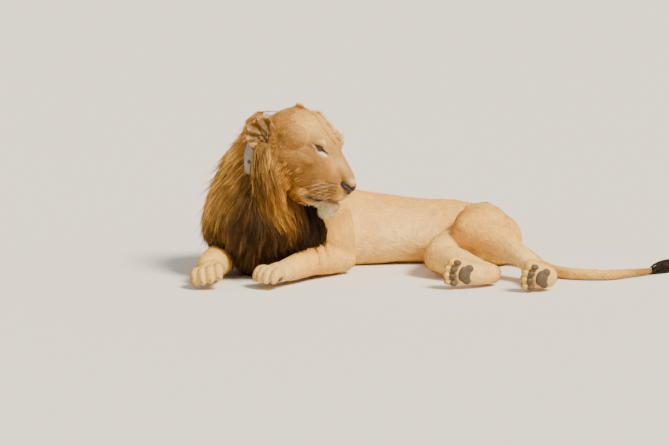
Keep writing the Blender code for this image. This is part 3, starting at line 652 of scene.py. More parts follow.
WAVE_TURNS, WAVE_SWAY = 75, 0.10 * 0.55
TIP_DRAW, FRIZZ = 0.78, 0.0016
STRAND_REACH, STRAND_WIDTHS = (0.72, 1.06), (0.6, 1.35)
FLOOR_HAIR, FLOOR_LOOSE = 0.002, 0.004
# How the shade of the hair varies: from clump to clump, lock to lock, strand to strand and root to tip. The
# darker roots are partly the hair's own colour and partly painted shade deep in the locks.
CLUMP_SIZE, CLUMP_SHADE, LOCK_SHADE, STRAND_SHADE = 0.035, 0.40, 0.28, 0.16
ROOT_DARK_AND_SHADOW, TIP_MORE = 0.42, 0.95


def locks(name, tree, roots, normals, flow, length, lift, strand_count, width, colour_of, spread, rings=6,
          limits=None, hang=0.0, contrast=1.0):
    """Pointed wavy locks: round each root some strands whose tips draw together. length is one for each
    root, flow(points) gives the lie of the hair, and limits(middles) may shorten strands."""
    count = len(roots)
    middles, ups = followed(tree, roots, flow, length, rings, lift, hang)
    t = np.linspace(0, 1, rings)
    ahead = unit(np.gradient(middles, axis=1))
    sides = unit(np.cross(ahead, ups))
    ups = unit(np.cross(sides, ahead))
    phase = clumpy(roots, 0.10, 11) * 3 + random.normal(0, 0.5, count)
    sway = np.sin(phase[:, None] + t[None] * length[:, None] * WAVE_TURNS) * length[:, None] * t[None]
    middles = middles + sides * sway[..., None] * WAVE_SWAY
    middles, sides, ups = (np.repeat(each, strand_count, 0) for each in (middles, sides, ups))
    total = count * strand_count
    off = random.normal(0, spread, (total, 1, 1))
    rise = random.uniform(-0.3, 1.0, (total, 1, 1)) * spread * 0.8
    draw = (1 - TIP_DRAW * t**1.3)[None, :, None]
    middles = middles + (sides * off + ups * rise) * draw
    reach = random.uniform(*STRAND_REACH, total)
    start = middles[:, :1]
    middles = start + (middles - start) * reach[:, None, None]
    middles += sides * (random.normal(0, FRIZZ, (total, rings))[..., None] * t[None, :, None])
    middles[..., 2] = np.maximum(middles[..., 2], FLOOR_HAIR + FLOOR_LOOSE * random.random((total, 1)))
    if limits is not None:
        middles = limits(middles)
    profile = np.minimum(0.65 + 1.6 * t, 1) * (1 - t) ** 0.6
    widths = (width * random.uniform(*STRAND_WIDTHS, total))[:, None] * profile[None]
    base = np.repeat(colour_of(middles[::strand_count].mean(1)), strand_count, 0)
    clump = clumpy(roots, CLUMP_SIZE, 12) * CLUMP_SHADE + random.normal(0, LOCK_SHADE, count)
    shade = np.exp((random.normal(0, STRAND_SHADE, total) + np.repeat(clump, strand_count)) * contrast)
    # Darker at the root, lighter at the tip: partly the hair's own colour, partly painted shade deep among
    # the locks.
    along = 1 + ((ROOT_DARK_AND_SHADOW + TIP_MORE * t) - 1)[None, :, None] * contrast
    colours = np.clip(base[:, None] * shade[:, None, None] * along, 0.002, 0.95)
    places = np.repeat(patch_places(roots, normals), strand_count, 0)
    return strands(name, middles, sides, ups, widths, colours, places)


def buried(roots, solids, depth=0.004):
    """True for roots that lie inside one of the solids."""
    hidden = np.zeros(len(roots), bool)
    for tree in solids:
        for k in np.flatnonzero(~hidden):
            near, normal, _, _ = tree.find_nearest(Vector(roots[k]))
            hidden[k] = bool(near) and (Vector(roots[k]) - near).dot(normal) < -depth
    return hidden


def drop_buried(roots, normals, *solids, depth=0.004):
    """Only the roots that no solid covers, with their normals."""
    held = ~buried(roots, solids, depth)
    return roots[held], normals[held]


# ---------------------------------------------------------------- the body's skin
PAW_WIDTH = 0.12
TOES = (-1.5, -0.5, 0.5, 1.5)
TOE_GAP, TOE_REACH, TOE_CURVE = 0.0268, 0.076, 0.009


class Paw:
    """A paw's own frame: across its toes, along them and up its back, in a size for its width."""

    def __init__(self, knuckles, toes_way, back_way, width):
        self.middle = Vector(knuckles)
        self.turn = facing(toes_way, back_way)
        self.size = width / PAW_WIDTH
        self.down = tuple(-(self.turn @ Vector((0, 0, 1))))
        self.sole_down = toes_way[2] < 0

    def at(self, x, y, z):
        """A place of the paw, in the lion's frame."""
        return self.middle + self.turn @ Vector((x, y, z)) * self.size

    def ball(self, bm, place, radii, fineness):
        """An oval ball at a place of the paw."""
        ball(bm, self.at(*place), [r * self.size for r in radii], self.turn, fineness)

    def station(self, place, across, deep):
        """A station of a loft at a place of the paw."""
        return self.at(*place), across * self.size, deep * self.size, self.down


def toe_reach(k):
    """How far forward a toe reaches: the middle ones farther."""
    return TOE_REACH - TOE_CURVE * abs(k)


def paw_form(bm, paw):
    """A paw round its knuckles, with four toes."""
    paw.ball(bm, (0, -0.014, 0.003), (0.047, 0.060, 0.033), 4)
    for k in TOES:
        reach, x = toe_reach(k), TOE_GAP * k
        loft(bm, [
            paw.station((0.020 * k, 0.000, 0.004), 0.0165, 0.021),
            paw.station((x * 0.95, reach - 0.034, 0.012), 0.0168, 0.0200),
            paw.station((x * 0.98, reach - 0.014, 0.006), 0.0158, 0.0180),
            paw.station((x * 0.98, reach - 0.004, -0.009), 0.0130, 0.0130),
        ])


PAD_GAP, PAD_REACH, PAD_SUNK = 0.0262, 0.048, 0.010


def pads_form(bm, paw):
    """The bare pads under a paw: one to each toe, and a broad three-lobed one behind them."""
    sunk = PAD_SUNK if paw.sole_down else 0.0
    for k in TOES:
        place = (PAD_GAP * k, PAD_REACH - TOE_CURVE * abs(k), -0.0160 + sunk)
        paw.ball(bm, place, (0.0112, 0.0160, 0.0105), 3)
    paw.ball(bm, (0, 0.004, -0.0185 + sunk), (0.0300, 0.0210, 0.0125), 3)
    paw.ball(bm, (0, -0.008, -0.0185 + sunk), (0.0240, 0.0190, 0.0125), 3)
    for side in (-1, 1):
        paw.ball(bm, (0.0215 * side, -0.013, -0.0182 + sunk), (0.0165, 0.0175, 0.0118), 3)


# A claw from its root to its point: forward, up, radius.
CLAW = [(-0.0080, -0.0010, 0.0024), (0.0020, -0.0040, 0.0022), (0.0075, -0.0080, 0.0016),
        (0.0095, -0.0125, 0.0005)]


def claws_form(bm):
    """The tips of drawn-in claws, just out of the fur of the toes."""
    for place in PAWS.values():
        paw = Paw(*place)
        for k in TOES:
            loft(bm, [paw.station((TOE_GAP * k, toe_reach(k) + y, z), r * 0.8, r) for y, z, r in CLAW])


def body_form(bm):
    """Trunk, neck, tail and legs, inside the solids by the depth of the coat."""
    for stations in (TRUNK, NECK, TAIL):
        loft(bm, stations, -COAT)
    loft(bm, TUFT, -TUFT_COAT)
    for centre, radii in MUSCLES:
        ball(bm, centre, [r - COAT for r in radii])
    for limb in LIMBS:
        for stations in limb:
            loft(bm, stations, -COAT)


# Folds and forms of the flesh: a path, its width and how far it stands out, or in.
FLESH_RELIEF = [
    ([(0.048, 0.150, 0.305), (0.056, 0.128, 0.230), (0.062, 0.112, 0.150)], 0.010, -0.011),
    ([(0.074, 0.170, 0.290), (0.086, 0.148, 0.220), (0.090, 0.140, 0.150)], 0.011, -0.008),
    ([(0.100, 0.190, 0.270), (0.112, 0.172, 0.200)], 0.012, -0.0055),
    ([(0.030, 0.120, 0.300), (0.034, 0.060, 0.210)], 0.020, 0.006),
    ([(0.320, 0.240, 0.050), (0.385, 0.215, 0.085), (0.440, 0.180, 0.125)], 0.014, -0.007),
    ([(0.470, 0.230, 0.235), (0.520, 0.240, 0.262), (0.590, 0.270, 0.235)], 0.045, 0.012),
    ([(0.150, 0.260, 0.200), (0.165, 0.232, 0.110)], 0.016, 0.003),
    ([(0.205, 0.255, 0.205), (0.220, 0.230, 0.110)], 0.016, 0.003),
    ([(0.600, 0.020, 0.150), (0.660, -0.040, 0.110), (0.702, -0.080, 0.090)], 0.010, 0.004),
]


def skin_relief(mesh):
    """Folds, muscles and a little unevenness in the body's skin."""
    points, normals = read_points(mesh)
    for path, width, height in FLESH_RELIEF:
        points = raised(points, normals, path, width, height)
    points += normals * (clumpy(points, 0.16, 1) * 0.0016 + clumpy(points, 0.055, 2) * 0.0006)[:, None]
    write_points(mesh, points)


LEG_PATHS = [stations for limb in LIMBS for stations in limb]
LIE_SHARPNESS, LIE_DROOP, LIE_WANDER = 6, np.array([0, 0, -0.35]), 0.10
LIE_BATCH = 8000


def limb_lines():
    """Middle points, directions and thicknesses down the trunk, tail and limbs, for the coat's lie."""
    middles, ways, sizes = [], [], []
    for stations in (NECK[::-1] + TRUNK[1:], TAIL, *LEG_PATHS):
        last = len(stations) - 1
        for u in np.linspace(0, last, last * 6 + 1):
            middle, ahead, behind = path_at(stations, u)
            middles.append(middle)
            ways.append(ahead - behind)
            sizes.append(catmull_rom([station[1:3] for station in stations], u).mean())
    for knuckles, toes_way, _, _ in PAWS.values():
        middles.append(knuckles)
        ways.append(toes_way)
        sizes.append(0.05)
    return np.array(middles), unit(np.array(ways)), np.array(sizes)


def coat_lay(points, normals):
    """Which way the body's coat lies: back along the trunk, down the limbs, drooping a little."""
    middles, ways, sizes = limb_lines()
    lay = np.empty_like(points)
    for start in range(0, len(points), LIE_BATCH):
        part = points[start : start + LIE_BATCH]
        far = np.linalg.norm(part[:, None] - middles[None], axis=2) / sizes[None]
        share = np.exp(-((far - far.min(1, keepdims=True)) * LIE_SHARPNESS) ** 2)
        lay[start : start + LIE_BATCH] = unit((share[:, :, None] * ways[None]).sum(1))
    return flat_to(normals, lay + LIE_DROOP + clumpy(points, 0.10, 5)[:, None] * LIE_WANDER)


# ---------------------------------------------------------------- colours of the coat
SAND = np.array((0.84, 0.450, 0.090))
CREAM = np.array((0.95, 0.660, 0.250))
TAWNY = np.array((0.52, 0.220, 0.040))
OCHRE = np.array((0.70, 0.270, 0.030))
BROWN = np.array((0.16, 0.072, 0.020))
DARK = np.array((0.030, 0.018, 0.011))
# The face's base colour: its own tan, drawn darker than the body's as painted shade for the half shade that
# the turned face lies in.
FACE_IN_HALF_SHADE = np.array((0.400, 0.190, 0.044))
FOREHEAD = np.array((0.76, 0.420, 0.110))
# A dark olive, painted shade for the cheeks.
OLIVE_CHEEK_SHADE = np.array((0.170, 0.076, 0.015))
# A dark gold: the muzzle's own colour with painted shade on its side.
SHADED_MUZZLE_GOLD = np.array((0.205, 0.088, 0.016))
WHITE = np.array((0.86, 0.720, 0.500))
RUST = np.array((0.520, 0.225, 0.028))
EAR_SKIN = np.array((0.20, 0.100, 0.045))
EAR_STREAK = np.array((0.88, 0.56, 0.25))
CHIN_HAIR = (0.90, 0.70, 0.40)
GOLD_HAIR = np.array((0.680, 0.300, 0.045))
PALE_HAIR = np.array((0.700, 0.370, 0.080))
SUN_HAIR = np.array((0.840, 0.430, 0.090))
BROWN_HAIR = np.array((0.046, 0.018, 0.0035))
BLACK_HAIR = np.array((0.014, 0.008, 0.005))
DUST_HAIR = np.array((0.150, 0.080, 0.026))
# Painted shade: how much darker the skin and the mane's core are drawn than the hair over them, for the
# shadow that the hair casts.
BODY_SKIN_SHADOW, PAW_SKIN_SHADOW, FACE_SKIN_SHADOW, MANE_CORE_SHADOW = 0.88, 0.85, 0.90, 0.55

# A soft spot: middle, half widths, colour, strength.
BODY_MARKS = [
    ((0.230, 0.200, 0.120), (0.220, 0.130, 0.100), CREAM, 0.90),
    ((0.130, 0.200, 0.150), (0.050, 0.080, 0.100), OCHRE, 0.30),
    ((0.200, 0.420, 0.300), (0.500, 0.120, 0.080), TAWNY, 0.35),
    ((0.480, 0.120, 0.235), (0.070, 0.060, 0.040), OCHRE, 0.80),
    ((0.430, 0.190, 0.170), (0.050, 0.080, 0.060), OCHRE, 0.60),
    ((0.530, 0.050, 0.178), (0.070, 0.040, 0.028), OCHRE, 0.65),
    ((0.640, -0.050, 0.130), (0.050, 0.050, 0.018), OCHRE, 0.35),
    ((0.640, -0.090, 0.090), (0.120, 0.090, 0.040), CREAM, 0.80),
    ((0.600, 0.180, 0.260), (0.120, 0.100, 0.040), OCHRE, 0.30),
    ((0.440, -0.040, 0.080), (0.090, 0.060, 0.060), CREAM, 0.60),
    ((0.722, -0.260, 0.050), (0.075, 0.080, 0.060), CREAM, 0.80),
    ((0.470, -0.215, 0.045), (0.110, 0.070, 0.060), CREAM, 0.80),
    ((-0.215, -0.190, 0.040), (0.090, 0.090, 0.060), CREAM, 0.85),
    ((-0.444, -0.190, 0.040), (0.085, 0.090, 0.060), CREAM, 0.75),
    ((-0.080, -0.040, 0.110), (0.120, 0.090, 0.020), OCHRE, 0.60),
    ((0.060, 0.100, 0.020), (0.100, 0.090, 0.040), CREAM, 0.60),
    ((0.040, 0.080, 0.100), (0.050, 0.060, 0.080), SAND, 0.60),
    ((-0.260, 0.060, 0.430), (0.100, 0.120, 0.110), BROWN, 1.0),
]


def body_colours(points):
    """Colours of the body, paws and tail."""
    colours = soft_spots(points, alike(SAND, points), BODY_MARKS)
    colours = toned(colours, BROWN, smoothstep(0.95, 1.20, points[:, 0]) * 0.9)
    return mottled(colours, 1 + 0.05 * clumpy(points, 0.05, 3) + 0.04 * clumpy(points, 0.018, 4))


# ---------------------------------------------------------------- the head, in its own frame
FACE_LUMPS = [
    ((0.000, 0.020, 0.098), (0.066, 0.088, 0.060)),
    ((0.000, 0.232, -0.030), (0.024, 0.030, 0.024)),
    ((0.000, 0.194, -0.120), (0.030, 0.034, 0.026)),
    ((0.000, 0.212, -0.118), (0.020, 0.022, 0.020)),
]
FACE_SIDE_LUMPS = [
    ((0.078, 0.052, -0.004), (0.043, 0.080, 0.058)),
    ((0.068, 0.000, -0.062), (0.060, 0.084, 0.072)),
    ((0.028, 0.206, -0.060), (0.028, 0.040, 0.034)),
    ((0.022, 0.226, -0.062), (0.020, 0.022, 0.028)),
    ((0.033, 0.168, -0.068), (0.036, 0.052, 0.042)),
    ((0.040, 0.098, 0.072), (0.046, 0.056, 0.036)),
    ((0.050, 0.116, 0.078), (0.032, 0.036, 0.024)),
    ((0.034, 0.132, 0.072), (0.024, 0.026, 0.018)),
    ((0.080, 0.086, 0.012), (0.032, 0.054, 0.026)),
    ((0.084, 0.046, 0.074), (0.038, 0.056, 0.044)),
    ((0.040, 0.120, -0.108), (0.036, 0.070, 0.026)),
]
BRIDGE = [
    ((0, 0.120, 0.074), 0.036, 0.026, DOWN),
    ((0, 0.165, 0.046), 0.030, 0.026, DOWN),
    ((0, 0.205, 0.018), 0.027, 0.024, DOWN),
    ((0, 0.238, -0.006), 0.026, 0.020, DOWN),
    ((0, 0.254, -0.018), 0.023, 0.015, DOWN),
    ((0, 0.266, -0.026), 0.017, 0.010, DOWN),
]
FACE_RELIEF = [
    ([(0.000, 0.150, 0.085), (0.000, 0.090, 0.150), (0.000, 0.020, 0.170)], 0.012, -0.0035),
    ([(0.030, 0.160, 0.062), (0.034, 0.190, 0.026), (0.034, 0.215, -0.006)], 0.010, -0.0045),
    ([(0.000, 0.262, -0.056), (0.000, 0.258, -0.094)], 0.0035, -0.0050),
    ([(0.056, 0.176, 0.018), (0.078, 0.140, -0.012), (0.096, 0.090, -0.030)], 0.016, -0.0030),
    ([(0.050, 0.214, -0.084), (0.058, 0.176, -0.092), (0.064, 0.140, -0.100)], 0.008, 0.0028),
    ([(0.066, 0.130, 0.084), (0.084, 0.096, 0.082), (0.094, 0.060, 0.070)], 0.009, -0.0030),
    ([(0.094, 0.020, 0.095), (0.088, -0.010, 0.110)], 0.026, -0.0050),
    ([(0.020, 0.128, 0.104), (0.024, 0.090, 0.134), (0.028, 0.040, 0.156)], 0.014, 0.0022),
]
LIP_LINE = [(0.000, 0.246, -0.094), (0.016, 0.242, -0.099), (0.032, 0.226, -0.104), (0.046, 0.200, -0.107),
            (0.054, 0.172, -0.109), (0.060, 0.146, -0.112)]
LIP_GROOVE, LIP_DEPTH = 0.0040, 0.0055
# The nose: its lumps, and the curve of a nostril.
NOSE_LUMPS = [
    ((0.000, 0.2500, -0.0370), (0.0235, 0.0250, 0.0160)),
    ((0.000, 0.2470, -0.0520), (0.0095, 0.0190, 0.0120)),
    ((0.000, 0.2610, -0.0310), (0.0185, 0.0150, 0.0105)),
]
NOSE_WING = ((0.0175, 0.2410, -0.0310), (0.0110, 0.0200, 0.0120))
NOSTRIL = [(0.0065, 0.2760, -0.0420), (0.0120, 0.2740, -0.0365), (0.0185, 0.2660, -0.0315),
           (0.0270, 0.2480, -0.0310)]
NOSE_GROOVE = [(0, 0.280, -0.024), (0, 0.268, -0.064)]
NOSTRIL_WIDE, NOSTRIL_DEEP, NOSE_GROOVE_WIDE = 0.0034, 0.0085, 0.0016
# Marks on the right side of the face, in the head's frame. The left side has them mirrored.
FACE_MARKS = [
    ((0.030, 0.080, 0.125), (0.065, 0.085, 0.058), FOREHEAD, 0.95),
    ((0.130, -0.100, 0.045), (0.030, 0.040, 0.060), RUST * 0.7, 0.80),
    ((0.000, -0.020, 0.165), (0.030, 0.050, 0.030), OCHRE, 0.80),
    ((0.096, -0.005, 0.075), (0.034, 0.040, 0.050), RUST, 0.85),
    # Painted shade: the cheek, and the cheek under the eye, darker where they face away from the light.
    ((0.090, 0.055, -0.035), (0.055, 0.075, 0.055), OLIVE_CHEEK_SHADE, 0.92),
    ((0.070, 0.110, 0.005), (0.035, 0.045, 0.035), OLIVE_CHEEK_SHADE, 0.75),
    ((0.010, 0.130, 0.110), (0.016, 0.050, 0.020), OCHRE, 0.45),
    ((0.000, 0.090, 0.150), (0.007, 0.080, 0.040), TAWNY, 0.60),
    # Painted light: the top of the bridge is lighter, where it faces the light.
    ((0.024, 0.190, 0.024), (0.020, 0.045, 0.022), CREAM, 0.45),
    # Painted shade: a darker stripe in the groove beside the bridge, from the inner corner of the eye towards
    # the nose.
    ((0.026, 0.220, 0.004), (0.014, 0.018, 0.014), TAWNY, 0.80),
    ((0.042, 0.182, 0.020), (0.012, 0.030, 0.020), TAWNY, 0.60),
    ((0.006, 0.262, -0.012), (0.014, 0.012, 0.008), WHITE, 0.65),
    # The side of the muzzle in dark gold: its own colour, with painted shade where it faces away from the
    # light.
    ((0.036, 0.196, -0.056), (0.036, 0.050, 0.034), SHADED_MUZZLE_GOLD, 0.92),
    ((0.018, 0.242, -0.078), (0.022, 0.018, 0.014), CREAM, 0.70),
    ((0.012, 0.205, -0.132), (0.034, 0.036, 0.022), WHITE, 0.95),
    ((0.045, 0.170, -0.128), (0.030, 0.040, 0.014), CREAM, 0.75),
    ((0.068, 0.158, -0.103), (0.050, 0.018, 0.0105), DARK, 0.98),
    ((0.052, 0.180, -0.106), (0.040, 0.022, 0.0045), DARK, 0.90),
    ((0.030, 0.226, -0.102), (0.030, 0.022, 0.0030), DARK, 0.70),
]
# Where the whiskers grow, in rows along the side of the muzzle: height, front end, how many.
WHISKER_ROWS = [(-0.034, 0.224, 4), (-0.044, 0.230, 6), (-0.055, 0.232, 7), (-0.066, 0.230, 7),
                (-0.078, 0.222, 6)]
WHISKER_GAP = 0.0105
SPOT_REACH = (0.0042, 0.0026)
# Painted shade: a dark line along the top of the head, for the shadowed edge between the forehead and the
# hair of the far brow.
BROW_SHADOW_LINE = [(0.010, 0.045, 0.158), (0.014, 0.085, 0.142), (0.012, 0.125, 0.115), (0.004, 0.160, 0.084)]
BROW_SHADOW_WIDTH = 0.0060
# Painted shade: a dark spot where the ear's canal opens, for the shadow in the hole.
CANAL_SHADOW_MARKS = [((0.100, -0.034, 0.026), (0.014, 0.016, 0.020), DARK, 0.96)]
RUFF_DEPTH = 0.010
GROOVE_DEPTH = 0.030


def to_lion(local):
    """Points of the head's frame, moved to the lion's."""
    place = np.array(HEAD)
    return local @ place[:3, :3].T + place[:3, 3]


def to_head(points):
    """Points of the lion, moved to the head's frame."""
    place = np.array(HEAD.inverted())
    return points @ place[:3, :3].T + place[:3, 3]


def folded(local):
    """Points of the head's frame, with its left half laid over its right."""
    halved = local.copy()
    halved[:, 0] = np.abs(halved[:, 0])
    return halved


def eye_frame(side):
    """An eye's middle, and its outward, inner to outer corner and upward directions."""
    middle = np.array(mirrored(EYE_PLACE, side))
    out = unit(np.array(mirrored(EYE_OUTWARD, side)))
    across = np.array(mirrored(EYE_OUTER, side)) - np.array(mirrored(EYE_INNER, side))
    across = unit(across - out * (across @ out))
    up = np.cross(out, across)
    return middle, out, across, up if up[2] > 0 else -up


def seen_from_eye(points, side):
    """Points from an eye's middle: the way there, how far, how far before it, and turn and tilt."""
    middle, out, across, up = eye_frame(side)
    away = points - middle
    far, depth = np.linalg.norm(away, axis=1), away @ out
    return away, far, depth, np.arctan2(away @ across, depth), np.arctan2(away @ up, depth)


def lid_edges(turn):
    """How far up and down the lids stand open at a turn from the eye's middle, in radians."""
    share = np.clip(np.abs(turn) / LID_REACH, 0, 1)
    return LID_OPEN * (1 - share**1.9), -LID_OPEN * (1 - share**1.7)


def open_lids(points):
    """Presses the skin in behind the eye inside the lids, and lays the lids over the ball round it."""
    for side in (1, -1):
        middle = eye_frame(side)[0]
        away, far, depth, turn, tilt = seen_from_eye(points, side)
        top, bottom = lid_edges(turn)
        beyond = np.maximum.reduce([tilt - top, bottom - tilt, np.abs(turn) - LID_REACH])
        inside = (depth > 0.001) & (far < SOCKET_REACH) & (beyond < 0)
        lid = EYE_BALL + LID_THICK + LID_ROLL * np.exp(-((beyond - LID_ROLL_AT) / LID_ROLL_WIDE) ** 2)
        covered = (depth > -0.010) & (beyond >= 0) & (far < lid)
        sunk = np.minimum(EYE_BALL * (1 - 0.16 * smoothstep(0, 0.10, -beyond)), EYE_BALL * 0.985)
        wanted = np.where(inside, sunk, np.where(covered, lid, far))
        points = middle + away * (wanted / np.maximum(far, 1e-6))[:, None]
    return points


def head_form(bm):
    """Skull, bridge of the nose, face, lids and ears."""
    loft(bm, [((0, y, z), across - SKULL_COAT, deep - SKULL_COAT, DOWN) for y, z, across, deep in SKULL])
    loft(bm, BRIDGE)
    for middle, radii in FACE_LUMPS:
        ball(bm, middle, radii, None, 4)
    for side in (-1, 1):
        for middle, radii in FACE_SIDE_LUMPS:
            ball(bm, mirrored(middle, side), radii, None, 4)
        ball(bm, mirrored(EYE_PLACE, side), [EYE_BALL + LID_THICK] * 3, None, 4)
        bm.from_mesh(ear_cup(side))


def ear_opening(side):
    """The middle of the ball that hollows an ear, in the ear's own frame."""
    return side * EAR_OPEN, 0.0, EAR_RAISED


def ear_cup(side):
    """An ear: an oval ball hollowed towards its opening."""
    turn = ear_turn(side)
    middle = Vector(mirrored(EAR_CENTRE, side))
    opening = turn @ Vector(ear_opening(side))

    def oval(radii, at):
        """A ball as an object, turned as the ear is."""
        return link("oval", form_mesh(lambda bm: ball(bm, at, radii, turn, 4)))

    outer, inner = oval(EAR_OUTER, middle), oval(EAR_INNER, middle + opening)
    hollow = outer.modifiers.new("hollow", "BOOLEAN")
    hollow.operation, hollow.object, hollow.solver = "DIFFERENCE", inner, "MANIFOLD"
    cup = evaluated(outer)
    bpy.data.objects.remove(inner)
    return cup


def near_ear(local, side):
    """How far points lie from the middle of an ear."""
    return np.linalg.norm(local - np.array(mirrored(EAR_CENTRE, side)), axis=1)


def ear_inside(local, edge=2.06):
    """1 inside an ear's cup, 0 away from it."""
    found = np.zeros(len(local))
    for side in (1, -1):
        own = (local - np.array(mirrored(EAR_CENTRE, side))) @ np.array(ear_turn(side))
        hollow = own - np.array(ear_opening(side))
        both = np.linalg.norm(own / np.array(EAR_OUTER), axis=1)
        both = both + np.linalg.norm(hollow / np.array(EAR_INNER), axis=1)
        close = (local[:, 0] * side > 0.06) & (near_ear(local, side) < 0.075)
        found = np.maximum(found, smoothstep(edge, edge - 0.10, both) * close)
    return found


def refine(mesh, where):
    """Cuts the faces that where picks in four."""
    bm = bmesh.new()
    bm.from_mesh(mesh)
    chosen = where(np.array([face.calc_center_median() for face in bm.faces]))
    edges = {edge for face, take in zip(bm.faces, chosen) if take for edge in face.edges}
    bmesh.ops.subdivide_edges(bm, edges=list(edges), cuts=1, use_grid_fill=True)
    bmesh.ops.triangulate(bm, faces=[face for face in bm.faces if len(face.verts) > 4])
    bm.to_mesh(mesh)
    bm.free()


def fine_places(points):
    """Round the eyes and on the muzzle, where the skin's marks are small."""
    from_eyes = (np.linalg.norm(points - eye_frame(side)[0], axis=1) for side in (1, -1))
    near_eyes = np.minimum(*from_eyes) < EYE_AREA
    x, y, z = np.abs(points[:, 0]), points[:, 1], points[:, 2]
    return near_eyes | ((y > 0.140) & (z < -0.020) & (z > -0.125) & (x > 0.02))


def head_skin():
    """The head's skin in its own frame: face, ears, lids and closed mouth."""
    head = fused("head_skin", head_form, HEAD_VOXEL, 7)
    mesh = head.data
    points, normals = read_points(mesh)
    for path, width, height in FACE_RELIEF:
        for one in both_sides(path) if path[0][0] > 0 else [path]:
            points = raised(points, normals, one, width, height)
    for one in both_sides(LIP_LINE):
        points = raised(points, normals, one, LIP_GROOVE, -LIP_DEPTH)
    write_points(mesh, points)
    refine(mesh, fine_places)
    write_points(mesh, open_lids(read_points(mesh)[0]))
    return head


def nose_form(bm):
    """The bare nose without its nostrils."""
    for middle, radii in NOSE_LUMPS:
        ball(bm, middle, radii, None, 4)
    for side in (-1, 1):
        ball(bm, mirrored(NOSE_WING[0], side), NOSE_WING[1], None, 4)


def nose_pad():
    """The bare nose, with its nostrils and the groove between them."""
    nose = fused("nose_pad", nose_form, NOSE_VOXEL, 4)
    points, normals = read_points(nose.data)
    for one in both_sides(NOSTRIL):
        points = raised(points, normals, one, NOSTRIL_WIDE, -NOSTRIL_DEEP)
    points = raised(points, normals, NOSE_GROOVE, NOSE_GROOVE_WIDE, -NOSE_GROOVE_WIDE)
    write_points(nose.data, points)
    nose.data.transform(HEAD)
    return nose


def eye_marks(halved, colours):
    """Dark rims to the lids, a dark tear line, a white streak under the eye and a pale brow over it."""
    _, far, depth, turn, tilt = seen_from_eye(halved, 1)
    near = smoothstep(0.050, 0.036, far) * (depth > 0.002)
    top, bottom = lid_edges(np.clip(turn, -LID_REACH, LID_REACH))
    over, under, past = tilt - top, bottom - tilt, np.abs(turn) - LID_REACH
    white = np.exp(-(((under - 0.34) / 0.15) ** 2))
    white *= smoothstep(1.5, 1.0, turn) * smoothstep(-1.5, -1.2, turn)
    brow = np.exp(-(((over - 0.72) / 0.22) ** 2)) * np.exp(-(((turn + 0.1) / 0.7) ** 2))
    dark = np.exp(-((np.maximum(over, 0) / 0.13) ** 2)) * np.exp(-((np.maximum(under, 0) / 0.09) ** 2))
    dark *= np.exp(-((np.maximum(past, 0) / 0.16) ** 2))
    inner = np.exp(-(((tilt + 0.10 + 0.55 * np.maximum(-turn - LID_REACH, 0)) / 0.11) ** 2))
    tear = inner * smoothstep(-LID_REACH + 0.2, -LID_REACH, turn) * smoothstep(-1.55, -1.40, turn)
    for mask, colour in ((white, WHITE), (brow * 0.75, CREAM), (np.maximum(dark, tear * 0.85), DARK)):
        colours = toned(colours, colour, mask * near)
    return colours


def whisker_spots():
    """Where the whiskers grow: rows along the right side of the muzzle."""
    spots = []
    for height, start, count in WHISKER_ROWS:
        for k in range(count):
            y = start - WHISKER_GAP * k
            spots.append((0.0300 + 0.30 * (0.235 - y), y, height - 0.0012 * k))
    return np.array(spots)


WHISKER_SPOTS = whisker_spots()


def head_colours(local):
    """Colours of the head at points in its own frame."""
    halved = folded(local)
    # Painted shade: the face starts from a base colour darker than the body's.
    colours = soft_spots(halved, alike(FACE_IN_HALF_SHADE, local), FACE_MARKS)
    colours = eye_marks(halved, colours)
    colours = toned(colours, EAR_SKIN, ear_inside(local) * 0.90)
    # Painted shade in the ears' canals.
    colours = soft_spots(halved, colours, CANAL_SHADOW_MARKS)
    for spot in WHISKER_SPOTS:
        near = bell(halved[:, 1:], spot[1:], SPOT_REACH) * (halved[:, 0] > 0.025)
        colours = toned(colours, DARK * 1.5, near * 0.88)
    # Painted shade: the dark line at the shadowed edge of the forehead.
    brow_shadow = np.exp(-((distance_to(local, BROW_SHADOW_LINE)[0] / BROW_SHADOW_WIDTH) ** 2))
    colours = toned(colours, TAWNY * 0.45, brow_shadow * 0.85)
    fine = 0.07 * clumpy(local, 0.009, 7) + 0.06 * clumpy(local, 0.004, 8)
    return mottled(colours, 1 + 0.06 * clumpy(local, 0.030, 6) + fine)


def face_lay(local, normals):
    """The face's coat lies away from the nose, and outwards over the ears."""
    lay = unit(local - np.array([0, 0.300, -0.010])) + np.array([0, -0.1, 0.0])
    for side in (1, -1):
        near = smoothstep(0.075, 0.045, near_ear(local, side))
        own = np.array([side * 0.5, -0.35, 0.9])
        lay = toned(lay, own * 1.6, near)
    return flat_to(normals, lay)


# ---------------------------------------------------------------- the mane
def core_form(bm):
    """What the mane's locks grow over, short of their tips."""
    loft(bm, [(c, a - MANE_DEPTH, d - MANE_DEPTH, w) for c, a, d, w in MANE], level=True)
    ball(bm, WITHERS[0], [r - MANE_DEPTH * 0.6 for r in WITHERS[1]], None, 4)
    bm.from_mesh(form_mesh(ruff_form, HEAD))


def ruff_form(bm):
    """What the cheek locks and the throat's hair grow over."""
    for side in (-1, 1):
        loft(bm, [(mirrored(c, side), a - RUFF_DEPTH, d - RUFF_DEPTH, w) for c, a, d, w in RUFF])
    ball(bm, THROAT[0], [r - RUFF_DEPTH for r in THROAT[1]], None, 4)


def collar_turns(points):
    """Height over the collar's own surface, place along its axis, and turn round it from the top."""
    axis = np.array(COLLAR_AXIS)
    top = unit(np.array((0, 0, 1)) - axis * axis[2])
    side = np.cross(axis, top)
    away = points - np.array(COLLAR_CENTRE)
    along = away @ axis
    flat = away - along[:, None] * axis
    turn = np.degrees(np.arctan2(flat @ side, flat @ top))
    radius = np.hypot(COLLAR_RADII[1] * np.cos(np.radians(turn)), COLLAR_RADII[0] * np.sin(np.radians(turn)))
    return np.linalg.norm(flat, axis=1) - radius, along, turn


